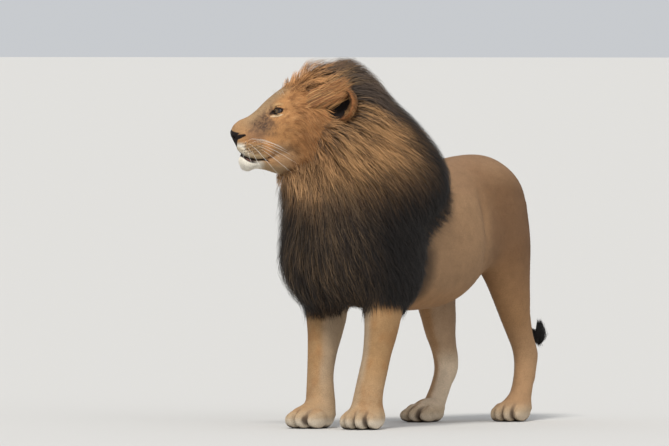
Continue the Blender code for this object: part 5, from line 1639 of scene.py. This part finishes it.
def eye(side, s):
    look = unit(HEAD_R @ (np.array(EYE_LOOK) * (1, s, 1)))
    c = np.array(HEAD_AT) + HEAD_R @ (np.array(EYE_AT) * (1, s, 1))
    x = unit(np.cross((0.0, 0.0, 1.0), look))
    y = np.cross(look, x)
    R, rings, around = EYE_R, 40, 48
    pts, col = [], []
    gaze = unit(look * 1.0 + HEAD_R @ np.array((0.35, 0, -0.02)))
    for i in range(rings + 1):
        a = math.pi * i / rings
        for j in range(around):
            b = 2 * math.pi * j / around
            d = math.cos(a) * look + math.sin(a) * (math.cos(b) * x + math.sin(b) * y)
            g = math.acos(max(-1, min(1, float(d @ gaze))))
            bulge = 0.0007 * max(0.0, 1 - (g / 0.62) ** 2)
            pts.append(c + d * (R - 0.0002 + bulge))
            # painted shade: the iris and the white are darker than their own colour, partly for the brow's shadow; the
            # white darker still towards the back
            if g < 0.24:
                k = lin(10, 8, 7)
            elif g < 0.74:
                t = (g - 0.24) / 0.50
                k = lin(104, 78, 42) * (1 - t) + lin(52, 36, 20) * t
            elif g < 0.84:
                k = lin(22, 15, 12)
            else:
                k = lin(46, 34, 29) if g < 1.2 else lin(36, 26, 22)
            col.append(k)
    faces = []
    for i in range(rings):
        for j in range(around):
            k = (j + 1) % around
            faces.append((i * around + j, (i + 1) * around + j, (i + 1) * around + k, i * around + k))
    o = new_mesh("eyeball_" + side, pts, faces)
    paint(o, np.array(col))
    o.data.materials.append(EYE_MAT)
    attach(o, "root")
    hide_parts("eye_" + side)
    return o


EYE_MAT = eye_material()
eye("left", 1)
eye("right", -1)


# ---------------------------------------------------------------- whiskers and claws
def whiskers():
    rng = np.random.default_rng(3)
    seeds, dirs, length = [], [], []
    for s in (1, -1):
        for row in range(4):
            for col in range(5):
                seeds.append((0.308 - col * 0.014, s * 0.052, -0.112 - row * 0.0125 + col * 0.0030))
                dirs.append((-0.10 - 0.12 * col, s * 0.35, -0.10 - 0.12 * row))
                length.append(0.055 + 0.022 * col + 0.03 * rng.random())
        for k in range(5):
            seeds.append((0.185 - 0.006 * k, s * (0.030 + 0.006 * k), 0.075))
            dirs.append((0.25, s * 0.1, 0.35))
            length.append(0.035 + 0.015 * rng.random())
    p, n = on_skin(seeds)
    L = np.array(length)[:, None]
    d = unit(n * 0.75 + np.array(dirs) @ HEAD_R.T + rng.normal(0, 0.06, n.shape))
    fall = np.array((0, 0, -0.25)) + HEAD_R @ np.array((-0.20, 0, 0))
    for k in range(12):
        tip = p + (d + fall) * L
        L = np.where(((tip[:, 0] < -0.328) | (tip[:, 1] < -0.872))[:, None], L * 0.9, L)
    fall = fall[None] * L
    path = np.stack([p - n * 0.001 + d * L * t + fall * t * t for t in np.linspace(0, 1, 6)], 1)
    c = np.tile(lin(236, 232, 222), (len(path), 1))
    o = hair_mesh("whiskers", path, n, np.full(len(path), 0.0011), c, c, np.tile((0.5, 0.002), (len(path), 1)), flat=0.9, power=2.5)
    o.data.materials.append(plain("whisker", lin(236, 232, 222), 0.35))
    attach(o, "root")
    return o


whiskers()


def claws():
    pts, faces = [], []
    for name in PAWS:
        o0, f, l = paw_axes(name)
        x, y, a, b, out = PAWS[name]
        for c, r in toes(name):
            base = o0 + f * (c[0] + 0.62 * r[0]) + l * c[1] + np.array((0, 0, c[2] + 0.006))
            tip_d = f * 0.020 + np.array((0, 0, -0.016))
            base = base - tip_d * 0.35
            k0 = len(pts)
            rings, around = 6, 8
            for i in range(rings):
                t = i / (rings - 1)
                p = base + tip_d * t + np.array((0, 0, 0.004)) * math.sin(t * math.pi)
                w = 0.0034 * (1 - t) ** 0.7 + 0.0003
                for j in range(around):
                    ang = 2 * math.pi * j / around
                    pts.append(p + l * w * 0.6 * math.cos(ang) + np.array((0, 0, 1.0)) * w * math.sin(ang))
            for i in range(rings - 1):
                for j in range(around):
                    k = (j + 1) % around
                    q = k0 + i * around
                    faces.append((q + j, q + k, q + around + k, q + around + j))
    o = new_mesh("claws", pts, faces)
    o.data.materials.append(plain("claw", lin(70, 58, 48), 0.35))
    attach(o, "root")
    return o


claws()

# ---------------------------------------------------------------- floor, light, camera
bpy.ops.mesh.primitive_plane_add(size=2000.0, location=(0, 0, 0))
floor = bpy.context.object
floor.name = "floor"
fm = plain("floor_grey", (0.62, 0.61, 0.59), 0.9)
fm.node_tree.nodes["Principled BSDF"].inputs["Specular IOR Level"].default_value = 0.1
floor.data.materials.append(fm)

world = bpy.data.worlds.new("studio")
bpy.context.scene.world = world
world.use_nodes = True
world.node_tree.nodes["Background"].inputs["Color"].default_value = (0.93, 0.96, 1.0, 1)
world.node_tree.nodes["Background"].inputs["Strength"].default_value = 0.62


def sun(name, direction, energy, angle, colour=(1, 1, 1)):
    L = bpy.data.lights.new(name, "SUN")
    L.energy, L.angle, L.color = energy, math.radians(angle), colour
    o = bpy.data.objects.new(name, L)
    bpy.context.scene.collection.objects.link(o)
    o.rotation_mode = "QUATERNION"
    o.rotation_quaternion = Vector(direction).to_track_quat("Z", "Y")
    return o


sun("key", (0.30, -0.80, 1.15), 2.3, 14, (1.0, 0.97, 0.92))
sun("fill", (0.9, -0.3, 0.5), 0.45, 40, (0.97, 0.98, 1.0))

# the lion fills the picture as it does from 40 m away through a long lens
DIST, EYE_H, PX, AZ = 40.0, 1.46, 260.0, 33.0
a = math.radians(AZ)
cam = bpy.data.cameras.new("camera")
co = bpy.data.objects.new("camera", cam)
bpy.context.scene.collection.objects.link(co)
back = Vector((math.sin(a), -math.cos(a), 0))
co.location = back * DIST + Vector((0, 0, EYE_H)) + Vector(tuple(SHIFT))
cam.sensor_width = 36.0
cam.lens = 36.0 * PX * DIST / 669.0
cam.clip_end = 3000.0
pitch = math.atan((223 - 45) / (PX * DIST))
yaw = math.atan((414 - 334.5) / (PX * DIST))
co.rotation_euler = (math.radians(90) - pitch, 0, a + yaw)
bpy.context.scene.camera = co
bpy.context.scene.view_settings.view_transform = "Standard"

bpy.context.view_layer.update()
print("all", round(time.time() - clock, 1))
